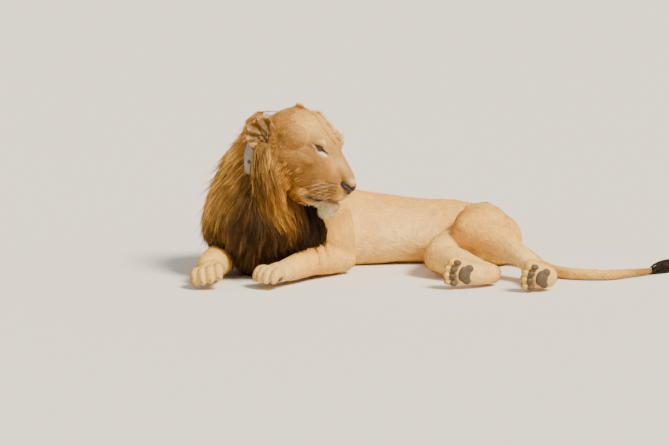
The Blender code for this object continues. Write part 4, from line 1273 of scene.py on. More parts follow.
def by_collar(points, turns, alongs, least_height):
    """1 for points between two turns round the collar and two places along it, not below a height."""
    height, along, turn = collar_turns(points)
    near = (turn > turns[0]) & (turn < turns[1]) & (along > alongs[0]) & (along < alongs[1])
    return (near & (height > least_height)).astype(float)


def in_groove(points):
    """1 where the strap shows between the hair of the head and the mane."""
    return by_collar(points, (60, 106), (0.002, 0.026), -0.02)


def mane_weight(points, _):
    """Denser along the strap's edge, where it shows."""
    return 1 + 3.0 * by_collar(points, (40, 118), (-0.035, 0.002), -0.02)


def nape_weight(points, _):
    """The neck behind the strap, where it stands out of the mane's core."""
    return by_collar(points, (-125, 125), (-0.13, 0.002), -0.05) * (points[:, 2] > 0.36)


def mane_limits(middles):
    """Keeps the locks off the front half of the strap where it shows, by shortening them."""
    count, rings = middles.shape[:2]
    inside = by_collar(middles.reshape(-1, 3), (58, 99), (STRAP_SHOWS, 0.022), 0).reshape(count, rings) > 0
    first = np.where(inside.any(1), np.maximum(inside.argmax(1) - 0.6, 0.05), rings - 1)
    start = middles[:, :1]
    return start + (middles - start) * (first / (rings - 1))[:, None, None]


def mane_flow(points):
    """Which way the mane falls: away from the head at the top, then down; along the cheek locks."""
    away = points - np.array((-0.170, 0.020, 0.460))
    away[:, 2] *= 0.3
    high = smoothstep(0.24, 0.46, points[:, 2])[:, None]
    flow = unit(unit(away) * (0.35 + 0.85 * high) + np.array([0, 0, -1.0]) * (1.15 - 0.55 * high))
    local = to_head(points)
    for side in (1, -1):
        path = np.array([mirrored(station[0], side) for station in RUFF])
        far, along = distance_to(local, path)
        runs = unit(np.diff(path, axis=0))
        way = runs[np.minimum((along * 3).astype(int), 2)] @ HEAD_TURN.T
        near = smoothstep(0.085, 0.045, far)[:, None]
        flow = flow * (1 - near) + (way + np.array([0, 0, -0.35])) * near
    return unit(flow)


def mane_length(roots, length):
    """Shorter on the crown, longest on the shoulders and the chest."""
    low = smoothstep(0.54, 0.36, roots[:, 2])
    return length * random.uniform(0.75, 1.30, len(roots)) * (0.50 + 0.50 * low)


# Soft spots of the mane's colours, and those of the cheek locks in the head's frame.
MANE_MARKS = [
    ((-0.400, 0.100, 0.440), (0.140, 0.220, 0.100), SUN_HAIR, 0.95),
    ((-0.460, 0.060, 0.300), (0.080, 0.220, 0.130), SUN_HAIR, 0.75),
    ((-0.250, 0.240, 0.440), (0.200, 0.140, 0.120), GOLD_HAIR, 0.80),
    ((-0.270, 0.080, 0.570), (0.110, 0.130, 0.080), GOLD_HAIR, 0.90),
    ((-0.140, 0.300, 0.300), (0.160, 0.120, 0.140), GOLD_HAIR, 0.60),
    # Near black under the chin and on the chest: partly the mane's own dark hair, partly painted shadow of
    # the head.
    ((-0.120, -0.100, 0.260), (0.090, 0.120, 0.100), BLACK_HAIR, 0.92),
    ((-0.160, -0.120, 0.160), (0.130, 0.120, 0.080), BLACK_HAIR, 0.55),
    ((-0.330, -0.080, 0.120), (0.140, 0.160, 0.060), DUST_HAIR, 0.75),
]
RUFF_MARKS = [
    ((0.104, -0.020, -0.030), (0.040, 0.060, 0.090), PALE_HAIR, 0.85),
    ((0.090, 0.050, -0.130), (0.045, 0.060, 0.070), GOLD_HAIR, 0.85),
    ((0.066, 0.090, -0.205), (0.030, 0.040, 0.050), GOLD_HAIR, 0.60),
]


def mane_colours(points):
    """Gold where the sun has bleached the outer locks, dark brown within, and near black under the chin and
    on the chest, partly as painted shadow of the head.
    """
    colours = soft_spots(points, alike(BROWN_HAIR, points), MANE_MARKS)
    return soft_spots(folded(to_head(points)), colours, RUFF_MARKS)


# ---------------------------------------------------------------- materials
def fill(tree, socket, value):
    """Sets a socket to a value, or links another node's output to it."""
    if isinstance(value, bpy.types.NodeSocket):
        tree.links.new(value, socket)
    else:
        socket.default_value = value


def added(tree, kind, **values):
    """A new node, with its settings and its sockets filled by name, in the order given."""
    node = tree.nodes.new(kind)
    for key, value in values.items():
        if key in node.inputs:
            fill(tree, node.inputs[key], value)
        else:
            setattr(node, key, value)
    return node


def maths(tree, operation, *values):
    """A sum on numbers or outputs."""
    node = added(tree, "ShaderNodeMath", operation=operation)
    for socket, value in zip(node.inputs, values):
        fill(tree, socket, value)
    return node.outputs[0]


def noise_of(tree, place, **values):
    """Soft noise at a place."""
    return added(tree, "ShaderNodeTexNoise", Vector=place, **values).outputs["Fac"]


def object_place(tree):
    """Where on the object a point is."""
    return added(tree, "ShaderNodeTexCoord").outputs["Object"]


def effect_group(name, build, **inputs):
    """A node group that puts out a Color and a Height. build(tree, given) makes both from the inputs."""
    group = bpy.data.node_groups.new(name, "ShaderNodeTree")
    for title, value in inputs.items():
        kind = "NodeSocketColor" if isinstance(value, tuple) else "NodeSocketFloat"
        group.interface.new_socket(title, in_out="INPUT", socket_type=kind).default_value = value
    group.interface.new_socket("Color", in_out="OUTPUT", socket_type="NodeSocketColor")
    group.interface.new_socket("Height", in_out="OUTPUT", socket_type="NodeSocketFloat")
    start, end = group.nodes.new("NodeGroupInput"), group.nodes.new("NodeGroupOutput")
    for title, made in zip(("Color", "Height"), build(group, start.outputs)):
        group.links.new(made, end.inputs[title])
    return group


def hair_tone(tree, given):
    """Varies a colour from hair to hair and in soft patches."""
    place = object_place(tree)
    fine = noise_of(tree, place, Scale=given["Fineness"], Detail=3.0, Roughness=0.65)
    patch = noise_of(tree, place, Scale=26.0, Detail=2.0, Roughness=0.5)
    spread = maths(tree, "SUBTRACT", maths(tree, "ADD", fine, patch), 1.0)
    scale = maths(tree, "MULTIPLY_ADD", spread, given["Contrast"], 1.0)
    varied = added(tree, "ShaderNodeVectorMath", operation="SCALE", Vector=given["Color"], Scale=scale)
    return varied.outputs[0], fine


def patches(tree, place, given, **values):
    """Two colours mixed in soft patches."""
    share = noise_of(tree, place, **values)
    mixed = added(tree, "ShaderNodeMix", data_type="RGBA", Factor=share, A=given["First"], B=given["Second"])
    return mixed.outputs["Result"]


def leather_cells(tree, given):
    """Bare skin: two colours in soft patches, and small cells."""
    place = object_place(tree)
    cells = added(tree, "ShaderNodeTexVoronoi", Vector=place, Scale=given["Fineness"])
    return patches(tree, place, given, Scale=90.0, Detail=4.0), cells.outputs["Distance"]


def made_grain(tree, given):
    """A made thing's surface: fine grain, and a little dirt in soft patches."""
    place = object_place(tree)
    fine = noise_of(tree, place, Scale=given["Fineness"], Detail=3.0)
    return patches(tree, place, given, Scale=45.0, Detail=3.0), fine


GREY = (0.5, 0.5, 0.5, 1.0)
HAIR_TONE = effect_group("hair_tone", hair_tone, Color=GREY, Fineness=500.0, Contrast=0.5)
LEATHER = effect_group("leather_cells", leather_cells, First=GREY, Second=GREY, Fineness=900.0)
GRAIN = effect_group("made_grain", made_grain, First=GREY, Second=GREY, Fineness=900.0)


def principled(name, roughness, specular=0.3, coat=0.0, colour=None):
    """A new material, its nodes and its shader."""
    made = bpy.data.materials.new(name)
    made.use_nodes = True
    shader = made.node_tree.nodes["Principled BSDF"]
    shader.inputs["Roughness"].default_value = roughness
    shader.inputs["Specular IOR Level"].default_value = specular
    shader.inputs["Coat Weight"].default_value = coat
    shader.inputs["Coat Roughness"].default_value = 0.06
    if colour is not None:
        shader.inputs["Base Color"].default_value = (*colour, 1.0)
    return made, made.node_tree, shader


def with_effect(name, group, roughness, specular, strength, distance, marked=False, **given):
    """A material that takes its colour and its bump from an effect's group. marked gives the group the
    colours stored on the mesh."""
    made, tree, shader = principled(name, roughness, specular)
    effect = added(tree, "ShaderNodeGroup", node_tree=group, **given)
    if marked:
        marks = added(tree, "ShaderNodeAttribute", attribute_name="coat")
        tree.links.new(marks.outputs["Color"], effect.inputs["Color"])
    tree.links.new(effect.outputs["Color"], shader.inputs["Base Color"])
    if strength:
        height = effect.outputs["Height"]
        bump = added(tree, "ShaderNodeBump", Strength=strength, Distance=distance, Height=height)
        tree.links.new(bump.outputs["Normal"], shader.inputs["Normal"])
    return made


def hairy(name, fineness, contrast, roughness, specular, strength):
    """Hair, or skin under hair, in the colours stored on the mesh."""
    return with_effect(name, HAIR_TONE, roughness, specular, strength, 0.0020, True, Fineness=fineness,
                       Contrast=contrast)


def leathery(name, dark, light, cell, roughness, strength):
    """Bare skin with cells of a size in metres."""
    return with_effect(name, LEATHER, roughness, 0.45, strength, 0.0010, First=(*light, 1.0),
                       Second=(*dark, 1.0), Fineness=1.0 / cell)


def grained(name, colour, grain, roughness, strength, specular=0.35):
    """A made thing with grain of a size in metres."""
    dirty, clean = (tuple(np.array(colour) * share) for share in (0.6, 1.25))
    return with_effect(name, GRAIN, roughness, specular, strength, 0.0006, First=(*dirty, 1.0),
                       Second=(*clean, 1.0), Fineness=1.0 / grain)


# The eye from the middle of its pupil outwards: angle, colour. The iris is dark brown rather than amber, as
# painted shade from the upper lid.
IRIS_IN_LID_SHADE = [(0.0, (0.004, 0.003, 0.003)), (0.205, (0.004, 0.003, 0.003)), (0.265, (0.05, 0.020, 0.005)),
        (0.36, (0.085, 0.034, 0.008)), (0.50, (0.035, 0.014, 0.004)), (0.555, (0.008, 0.005, 0.003)),
        (0.70, (0.05, 0.030, 0.018))]


def eye_material():
    """Pupil, iris with its fibres, dark rim and white, by the angle stored on the mesh."""
    made, tree, shader = principled("eye", 0.10, 0.35, 0.25)
    gaze = added(tree, "ShaderNodeAttribute", attribute_name="gaze").outputs["Fac"]
    fibres = noise_of(tree, object_place(tree), Scale=420.0, Detail=2.0)
    rings = added(tree, "ShaderNodeValToRGB", Fac=maths(tree, "MULTIPLY_ADD", fibres, 0.06, gaze))
    elements = rings.color_ramp.elements
    elements.remove(elements[-1])
    # The ramp's iris colours are darkened as painted shade from the upper lid.
    elements[0].position, elements[0].color = IRIS_IN_LID_SHADE[0][0], (*IRIS_IN_LID_SHADE[0][1], 1.0)
    for angle, colour in IRIS_IN_LID_SHADE[1:]:
        elements.new(angle).color = (*colour, 1.0)
    tree.links.new(rings.outputs["Color"], shader.inputs["Base Color"])
    return made


SKIN = hairy("short_coat_skin", 420.0, 0.55, 0.80, 0.10, 0.70)
FUR = hairy("short_coat", 700.0, 0.25, 0.72, 0.14, 0.0)
MANE_HAIR = hairy("mane_hair", 900.0, 0.40, 0.60, 0.18, 0.0)
CORE = hairy("mane_underhair", 260.0, 0.80, 0.85, 0.10, 0.8)
NOSE_SKIN = leathery("nose_skin", (0.010, 0.008, 0.008), (0.040, 0.028, 0.026), 0.0011, 0.42, 0.5)
PAD_SKIN = leathery("pad_skin", (0.046, 0.028, 0.014), (0.150, 0.096, 0.050), 0.0014, 0.70, 0.6)
LIP_SKIN = leathery("lip_skin", (0.010, 0.007, 0.006), (0.035, 0.022, 0.018), 0.0010, 0.50, 0.3)
EYE = eye_material()
CLAW_HORN = principled("claw_horn", 0.30, 0.5, 0.2, (0.16, 0.11, 0.07))[0]
WHISKER = principled("whisker_hair", 0.45, 0.4, 0.0, (0.80, 0.74, 0.62))[0]
STRAP = grained("strap_belting", (0.30, 0.245, 0.215), 0.0012, 0.62, 0.5)
CASE = grained("unit_case", (0.72, 0.70, 0.66), 0.0009, 0.42, 0.25)
THREAD = principled("strap_thread", 0.70, 0.2, 0.0, (0.42, 0.37, 0.31))[0]
RIVET = grained("rivet", (0.05, 0.05, 0.05), 0.0008, 0.35, 0.2, 0.5)
FLOOR = principled("floor", 0.90, 0.10, 0.0, (0.76, 0.71, 0.63))[0]

# ---------------------------------------------------------------- pieces on the part
SHIFT = sum(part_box("right_eye"), Vector()) / 2 - HEAD @ EYE_PLACE
HAIR_AND_EYES = ("mane", "tail_tuft", "left_eye", "right_eye")
FLESH_NODES = [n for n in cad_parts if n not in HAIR_AND_EYES and not n.startswith("collar")]


def placed(obj, name, material, slot, *nodes):
    """Puts a finished piece on the part, with its material and the solids that it stands for. Its slot is not
    used.
    """
    obj.name = name
    obj.data.transform(Matrix.Translation(SHIFT))
    obj.data.materials.clear()
    obj.data.materials.append(material)
    obj.data.polygons.foreach_set("use_smooth", np.ones(len(obj.data.polygons), bool))
    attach(obj, "root")
    if nodes:
        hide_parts(*nodes)


def joined(name, objects):
    """The objects as one."""
    bpy.ops.object.select_all(action="DESELECT")
    for obj in objects:
        obj.select_set(True)
    bpy.context.view_layer.objects.active = objects[0]
    bpy.ops.object.join()
    objects[0].name = name
    objects[0].select_set(False)
    return objects[0]


# ---------------------------------------------------------------- skin, and what the mane grows on
body = fused("body", body_form, BODY_VOXEL, 12)
skin_relief(body.data)
above_floor(body)
body_tree = tree_of(body)
feet = {}
for paw_name, (*lie, width) in PAWS.items():
    paw = Paw(*lie, width - 2 * PAW_COAT)
    feet[paw_name] = above_floor(fused(paw_name, lambda bm: paw_form(bm, paw), PAW_VOXEL, 5))
face = head_skin()
# Painted shade: the face's skin is darker than its coat, for the shadow of the hair over it.
tint(face.data, head_colours(read_points(face.data)[0]) * FACE_SKIN_SHADOW)

core = fused("core", core_form, CORE_VOXEL, 10)
core_points, core_normals = read_points(core.data)
write_points(core.data, core_points - core_normals * (in_groove(core_points) * GROOVE_DEPTH)[:, None])
above_floor(core)
core_tree = tree_of(core)


# ---------------------------------------------------------------- short coat of the body and the paws
COAT_WIDTH, COAT_LIFT = 0.0032, 0.06
PAW_HAIR, PAW_HAIR_WIDTH, PAW_HAIR_LIFT = 0.0100, 0.0026, 0.09
PAW_TUFTS = 3600
# The coat in three pieces along the body: from where, to where, and how many tufts.
COAT_PARTS = {"fore": (-9, 0.08, 34000), "middle": (0.08, 0.47, 20000), "hind": (0.47, 9, 26000)}


def between(low, high, places):
    """True for places in a range."""
    return (places > low) & (places <= high)


def body_weight(points):
    """More hair low down, and over the hind feet and the tail."""
    return 1.0 + 0.8 * smoothstep(0.12, 0.03, points[:, 2]) + 0.5 * smoothstep(0.55, 0.72, points[:, 0])


BODY_HAIR, BELLY_MORE, PAWS_LESS = 0.0175, 0.004, 0.003


def body_length(points):
    """Longer on the belly, shorter towards the paws."""
    length = np.full(len(points), BODY_HAIR)
    length += BELLY_MORE * bell(points, (0.22, 0.22, 0.05), (0.25, 0.15, 0.06))
    return length - PAWS_LESS * smoothstep(-0.02, -0.12, points[:, 1])


for part, (low, high, count) in COAT_PARTS.items():
    roots, normals = scatter(body.data, int(count * SHARE),
                             lambda p, n: body_weight(p) * between(low, high, p[:, 0]))
    roots, normals = drop_buried(roots, normals, core_tree, depth=0.002)
    hair = tufts(f"coat_{part}", roots, normals, coat_lay(roots, normals), body_length(roots), COAT_WIDTH,
                 COAT_LIFT, body_colours(roots))
    placed(hair, f"coat_{part}", FUR, "coat")
for paw_name, foot in feet.items():
    _, toes_way, back_way, _ = PAWS[paw_name]
    back = unit(np.array(back_way))
    roots, normals = scatter(foot.data, int(PAW_TUFTS * SHARE),
                             lambda p, n: 0.05 + 0.95 * smoothstep(-0.75, -0.25, n @ back))
    lay = flat_to(normals, alike(unit(np.array(toes_way)), roots))
    hair = tufts(f"coat_{paw_name}_paw", roots, normals, lay, np.full(len(roots), PAW_HAIR), PAW_HAIR_WIDTH,
                 PAW_HAIR_LIFT, body_colours(roots))
    placed(hair, f"coat_{paw_name}_paw", FUR, "coat")


# ---------------------------------------------------------------- short coat of the head
# Pieces of the head's coat: from where, to where, how many tufts, and how wide.
HEAD_PARTS = {"coat_face": (0.10, 9, 44000, 0.0013), "coat_head": (-9, 0.10, 22000, 0.0013 + 0.0008)}
HEAD_LIFT, HEAD_CONTRAST = 0.12, 0.26
NOSE_PLACE, NOSE_SIZE = np.array((0, 0.262, -0.032)), np.array((0.024, 0.03, 0.024))


def face_weight(local):
    """No tufts inside the lids or under the nose pad, few in the ears' cups, and more in front."""
    weight = 0.6 + 1.2 * smoothstep(0.02, 0.12, local[:, 1])
    weight *= 1 - ear_inside(local) * 0.9
    for side in (1, -1):
        _, far, _, turn, tilt = seen_from_eye(local, side)
        top, bottom = lid_edges(turn)
        opening = (tilt < top + LID_MARGIN) & (tilt > bottom - LID_MARGIN) & (np.abs(turn) < LID_REACH)
        weight *= 1 - (opening & (far < 0.03))
    return weight * (np.linalg.norm((local - NOSE_PLACE) / NOSE_SIZE, axis=1) > 1)


def face_length(local):
    """Shortest on the nose, longer over the skull, round the ears and under the chin."""
    length = 0.0048 + 0.0070 * smoothstep(0.18, 0.0, local[:, 1])
    length -= 0.0012 * smoothstep(0.16, 0.20, local[:, 1])
    for side in (1, -1):
        length += 0.006 * smoothstep(0.080, 0.060, near_ear(local, side))
    return length + 0.006 * smoothstep(-0.105, -0.125, local[:, 2]) * smoothstep(0.12, 0.17, local[:, 1])


for name, (low, high, count, width) in HEAD_PARTS.items():
    roots, normals = scatter(face.data, int(count * SHARE),
                             lambda p, n: face_weight(p) * between(low, high, p[:, 1]))
    lay = face_lay(roots, normals) @ HEAD_TURN.T
    hair = tufts(name, to_lion(roots), normals @ HEAD_TURN.T, lay, face_length(roots), width, HEAD_LIFT,
                 head_colours(roots), HEAD_CONTRAST)
    placed(hair, name, FUR, "coat")
face.data.transform(HEAD)
face_tree = tree_of(face)

# ---------------------------------------------------------------- mane
# Layers of the mane: locks, length, stand-off, strands in a lock, their width and spread, and hang.
MANE_LAYERS = {
    "mane_under_a": (700, 0.120, 0.004, 7, 0.0036, 0.0070, 0.0),
    "mane_under_b": (700, 0.120, 0.004, 7, 0.0036, 0.0070, 0.1),
    "mane_middle_a": (800, 0.115, 0.009, 7, 0.0027, 0.0070, 0.2),
    "mane_middle_b": (800, 0.115, 0.009, 7, 0.0027, 0.0070, 0.3),
    "mane_over": (780, 0.105, 0.014, 6, 0.0020, 0.0060, 0.5),
    "mane_wisps": (240, 0.110, 0.020, 5, 0.0016, 0.0060, 0.9),
}
NAPE = (420, 0.110, 0.012, 6, 0.0028, 0.0070, 0.4)


def grow_mane(name, tree, roots, normals, layer):
    """One layer of the mane."""
    _, length, lift, strand_count, width, spread, hang = layer
    hair = locks(name, tree, roots, normals, mane_flow, mane_length(roots, length), lift, strand_count, width,
                 mane_colours, spread, limits=mane_limits, hang=hang)
    placed(hair, name, MANE_HAIR, "mane")


for name, layer in MANE_LAYERS.items():
    roots, normals = scatter(core.data, int(layer[0] * SHARE), mane_weight)
    held = ~buried(roots, [body_tree, face_tree], 0.006) & (in_groove(roots) < 0.5)
    grow_mane(name, core_tree, roots[held], normals[held], layer)
roots, normals = scatter(body.data, int(NAPE[0] * SHARE), nape_weight)
grow_mane("mane_nape", body_tree, *drop_buried(roots, normals, core_tree, face_tree), NAPE)
# Painted shade: the mane's core is much darker than its locks, for the shade deep among them.
tint(core.data, mane_colours(core_points) * MANE_CORE_SHADOW)
placed(core, "mane_core", CORE, "mane", "mane")


# ---------------------------------------------------------------- long hair of the head
def head_locks(name, count, where, way, colour_of, length, lift, strands_each, width, spread=0.004, rings=4,
               hang=0.0, contrast=1.0):
    """Locks on the head: where(local) says how thickly they grow, way(local) which way they run."""
    roots, normals = scatter(face.data, int(count * SHARE), lambda p, n: where(to_head(p)))
    long = length * random.uniform(0.7, 1.25, len(roots))
    long = long * (0.45 + 0.55 * smoothstep(0.0, 0.6, where(to_head(roots))))
    hair = locks(name, face_tree, roots, normals, lambda p: way(to_head(p)) @ HEAD_TURN.T, long, lift,
                 strands_each, width, lambda p: colour_of(to_head(p)), spread, rings, None, hang, contrast)
    placed(hair, name, MANE_HAIR, "mane")


def spot(local, middle, reach):
    """A soft spot on either side of the head."""
    return bell(folded(local), middle, reach)


def outwards(local, amount):
    """Directions away from the head's middle."""
    return np.stack([np.sign(local[:, 0]) * amount, np.zeros(len(local)), np.zeros(len(local))], 1)


def cheek_place(local):
    """Under the ears, down the cheeks and along the jaw."""
    where = spot(local, (0.095, 0.028, -0.080), (0.060, 0.060, 0.070)) ** 2
    where += 0.45 * spot(local, (0.072, 0.100, -0.116), (0.045, 0.034, 0.022))
    where += 0.80 * spot(local, (0.112, -0.020, -0.022), (0.040, 0.045, 0.030))
    return where * (1 - ear_inside(local)) * (np.abs(local[:, 0]) > 0.035)


def cheek_way(local):
    """Down, and back along the jaw."""
    jaw = smoothstep(0.05, 0.12, local[:, 1])[:, None]
    return outwards(local, 0.10) + np.array((0, -0.20, -1.0)) - np.array((0, 0.75, -0.15)) * jaw


def cheek_colours(local):
    """Gold, paler under the ears and dark at the throat."""
    colours = alike(GOLD_HAIR * 1.05, local)
    colours = toned(colours, PALE_HAIR, spot(local, (0.110, -0.010, -0.040), (0.050, 0.060, 0.080)) * 0.9)
    return toned(colours, BROWN_HAIR * 2, spot(local, (0.060, 0.080, -0.180), (0.050, 0.070, 0.060)) * 0.5)


def crown_place(local):
    """Over the back of the head, between the ears."""
    top = smoothstep(0.055, 0.100, local[:, 2]) * smoothstep(0.020, -0.030, local[:, 1])
    clear = np.linalg.norm(np.abs(local) - np.abs(np.array(EAR_CENTRE)), axis=1) > 0.058
    return top * (1 - ear_inside(local)) * clear


def crown_way(local):
    """Back and a little outwards."""
    return outwards(local, 0.20) + np.array((0, -1.0, 0.15))


def crown_colours(local):
    """Like the forehead, with rust in the middle and ochre by the ears."""
    colours = toned(alike(FOREHEAD * 0.95, local), RUST * 1.15,
                    spot(local, (0.0, -0.030, 0.165), (0.026, 0.05, 0.05)) * 0.8)
    return toned(colours, OCHRE, spot(local, (0.090, -0.01, 0.100), (0.04, 0.05, 0.04)) * 0.6)


def temple_place(local):
    """In front of the ears."""
    return spot(local, (0.100, -0.002, 0.075), (0.030, 0.030, 0.050)) * (1 - ear_inside(local))


def temple_way(local):
    """Back, up and outwards."""
    return outwards(local, 0.35) + np.array((0, -0.9, 0.25))


def temple_colours(local):
    """From the forehead's colour to the ears' rust."""
    rust = spot(local, (0.105, -0.010, 0.070), (0.040, 0.040, 0.050))
    return toned(alike(FOREHEAD, local), RUST, rust * 0.9)


FAR_BROW = [(-0.045, 0.030, 0.150), (-0.055, 0.080, 0.125), (-0.050, 0.125, 0.095)]


def brow_place(local):
    """The long pale hair over the far brow and temple."""
    far, _ = distance_to(local, FAR_BROW)
    return np.exp(-((far / 0.026) ** 2)) * smoothstep(-0.008, -0.034, local[:, 0])


def from_canal(local):
    """The way out of the ear's canal on the right side, for points of either ear."""
    return folded(local) - EAR_CANAL


def ear_hair_place(local):
    """Inside the ears' cups, round the canal."""
    away = np.linalg.norm(from_canal(local), axis=1)
    return ear_inside(local, 2.16) * smoothstep(0.010, 0.018, away) * smoothstep(0.095, 0.070, away)


def ear_hair_way(local):
    """Out of the canal, over the cup's edge."""
    way = unit(from_canal(local)) + np.array((0.25, 0, 0.15))
    way[:, 0] *= np.sign(local[:, 0])
    return way


def ear_hair_colours(local):
    """Pale and dark streaks that fan out of the canal."""
    away = from_canal(local)
    streak = np.sin(np.arctan2(away[:, 2], away[:, 1]) * 13 + clumpy(local, 0.05, 21) * 1.5)
    return toned(alike(RUST * 0.5, local), EAR_STREAK, smoothstep(-0.7, 0.4, streak))


def all_one(value):
    """The same colour or direction everywhere."""
    return lambda local: alike(value, local)


head_locks("cheek_hair", 1120, cheek_place, cheek_way, cheek_colours, 0.062, 0.006, 5, 0.0017, 0.006, 5, 0.35)
head_locks("crown_hair", 940, crown_place, crown_way, crown_colours, 0.020, 0.004, 5, 0.0010, hang=0.45,
           contrast=0.35)
head_locks("crown_tuft", 90, lambda p: spot(p, (0.0, -0.012, 0.165), (0.014, 0.016, 0.020)),
           all_one((0.1, -0.45, 1.0)), all_one(RUST), 0.026, 0.004, 6, 0.0012, 0.003, hang=0.9, contrast=0.5)
head_locks("temple_hair", 500, temple_place, temple_way, temple_colours, 0.020, 0.004, 5, 0.0011, hang=0.2,
           contrast=0.5)
head_locks("brow_hair", 320, brow_place, all_one((-0.55, 0.10, 0.75)),
           all_one(CREAM * 0.45 + FOREHEAD * 0.50), 0.030, 0.006, 5, 0.0011, hang=0.8, contrast=0.35)
head_locks("chin_hair", 320, lambda p: spot(p, (0.016, 0.196, -0.140), (0.026, 0.034, 0.014)),
           all_one((0, -0.30, -1.0)), all_one(CHIN_HAIR), 0.036, 0.003, 6, 0.0012, hang=0.8, contrast=0.7)
head_locks("ear_hair", 560, ear_hair_place, ear_hair_way, ear_hair_colours, 0.030, 0.003, 5, 0.0013, 0.003,
           contrast=0.6)

# ---------------------------------------------------------------- the tail's tuft
TAIL_LOCKS, TAIL_HAIR, TAIL_LIFT, TAIL_SPREAD = 170, 0.055, 0.006, 0.004
TAIL_STRANDS, TAIL_STRAND_WIDTH = 7, 0.0030

tuft = link("tuft", form_mesh(lambda bm: loft(bm, TUFT, -TUFT_CORE)))
tail_way = unit(np.array(TUFT[-1][0]) - np.array(TUFT[0][0]))
roots, normals = scatter(tuft.data, TAIL_LOCKS, lambda p, n: np.ones(len(p)))
hair = locks("tail_tuft_hair", tree_of(tuft), roots, normals, all_one(tail_way),
             np.full(len(roots), TAIL_HAIR), TAIL_LIFT, TAIL_STRANDS, TAIL_STRAND_WIDTH,
             all_one(BLACK_HAIR * 1.6), TAIL_SPREAD)
placed(hair, "tail_tuft_hair", MANE_HAIR, "mane", "tail_tuft")
bpy.data.objects.remove(tuft)


# ---------------------------------------------------------------- eyes, nose, whiskers and lips
GAZE = (0.50, 0.86, -0.02)
CORNEA_BULGE, CORNEA_EDGE = 0.045, (0.62, 0.35)
RIM_STEPS, RIM_LIFT, RIM_RADII = 15, 0.0010, (0.0017, 0.0013)
WHISKER_RINGS, WHISKER_WIDTH, WHISKER_LENGTHS = 7, 0.0007, (0.045, 0.095)
LIP_RADII, LIP_SUNK = [0.0012, 0.0014, 0.0016, 0.0019, 0.0023, 0.0016], 0.0005


def eyeball(side):
    """A ball with a bulging cornea, and at each point its angle from the middle of the pupil."""
    bm = bmesh.new()
    bmesh.ops.create_icosphere(bm, subdivisions=5, radius=EYE_BALL)
    mesh = mesh_of(bm, "eye")
    points, _ = read_points(mesh)
    gaze = unit(np.array(mirrored(GAZE, side)))
    angle = np.arccos(np.clip(unit(points) @ gaze, -1, 1))
    write_points(mesh, points * (1 + CORNEA_BULGE * smoothstep(*CORNEA_EDGE, angle))[:, None])
    mesh.transform(HEAD @ Matrix.Translation(mirrored(EYE_PLACE, side)))
    layer = mesh.attributes.new("gaze", "FLOAT", "POINT")
    layer.data.foreach_set("value", angle)
    return link("eye", mesh)


def tube(name, path, radii, place=None):
    """A closed tube along a path, with a radius at each point."""
    stations = [(tuple(point), r, r, DOWN) for point, r in zip(path, radii)]
    return link(name, form_mesh(lambda bm: loft(bm, stations), place))


def lid_rim(side):
    """The dark edge of both lids, thicker towards the corners."""
    middle, out, across, up = eye_frame(side)
    turns = np.linspace(-LID_REACH, LID_REACH, RIM_STEPS)
    rims = []
    for tilt, thick in zip(lid_edges(turns), RIM_RADII):
        way = unit(out + np.tan(turns)[:, None] * across + np.tan(tilt)[:, None] * up)
        radii = thick * (0.75 + 0.5 * np.abs(turns / LID_REACH))
        rims.append(tube("rim", middle + way * (EYE_BALL + RIM_LIFT), radii, HEAD))
    return joined("rim", rims)


def whisker_path(place, side):
    """A long hair that leaves its spot on the muzzle and bends back and down."""
    out = Vector(mirrored((place[0] + 0.016, *place[1:]), side))
    near, normal, _, _ = face_tree.find_nearest(HEAD @ out)
    away = Vector(HEAD_TURN @ np.array((side * 0.8, -0.15, -0.25))).normalized()
    away = (away + normal * 0.5).normalized()
    back = Vector(HEAD_TURN @ np.array((side * 0.1, -0.6, -0.5)))
    length = random.uniform(*WHISKER_LENGTHS)
    return [near + away * length * t + back * length * 0.55 * t * t for t in np.linspace(0, 1, WHISKER_RINGS)]


def whiskers():
    """A hair on every third spot of each side."""
    middles = np.array([whisker_path(place, side) for side in (1, -1) for place in WHISKER_SPOTS[::3]])
    ahead = unit(np.gradient(middles, axis=1))
    sides = unit(np.cross(ahead, np.array((0, 0, 1.0))))
    widths = np.tile(WHISKER_WIDTH * (1 - 0.8 * np.linspace(0, 1, WHISKER_RINGS)), (len(middles), 1))
    colours = np.tile(WHITE, (*middles.shape[:2], 1))
    places = patch_places(middles[:, 0], sides[:, 0])
    return strands("whiskers", middles, sides, np.cross(sides, ahead), widths, colours, places)


def lip(path):
    """The dark edge of the lips, let into the skin along a path."""
    spots = []
    for point in path:
        near, normal, _, _ = face_tree.find_nearest(HEAD @ Vector(point))
        spots.append(near - normal * LIP_SUNK)
    return tube("lip", spots, LIP_RADII)


for side, word in ((1, "right"), (-1, "left")):
    placed(eyeball(side), f"{word}_eyeball", EYE, "eye", f"{word}_eye")
    placed(lid_rim(side), f"{word}_lid_edge", LIP_SKIN, "bare_skin")
placed(nose_pad(), "nose", NOSE_SKIN, "bare_skin")
placed(whiskers(), "whiskers", WHISKER, "whisker")
placed(joined("lips", [lip(path) for path in both_sides(LIP_LINE)]), "lips", LIP_SKIN, "bare_skin")

# ---------------------------------------------------------------- pads, claws and the joined skin
pads = [fused("pads", lambda bm: pads_form(bm, Paw(*place)), PAD_VOXEL, 5) for place in PAWS.values()]
placed(above_floor(joined("pads", pads)), "foot_pads", PAD_SKIN, "bare_skin")
placed(above_floor(link("claws", form_mesh(claws_form))), "claws", CLAW_HORN, "claw")
# Painted shade: the skin of the paws and the body is darker than their coat, for the shadow of the hair over
# it.
for foot in feet.values():
    tint(foot.data, body_colours(read_points(foot.data)[0]) * PAW_SKIN_SHADOW)
tint(body.data, body_colours(read_points(body.data)[0]) * BODY_SKIN_SHADOW)
placed(joined("skin", [body, *feet.values(), face]), "skin", SKIN, "coat", *FLESH_NODES)


# ---------------------------------------------------------------- the collar
STRAP_THICK = 0.0050
STRAP_STEPS, STITCHES = 144, 84
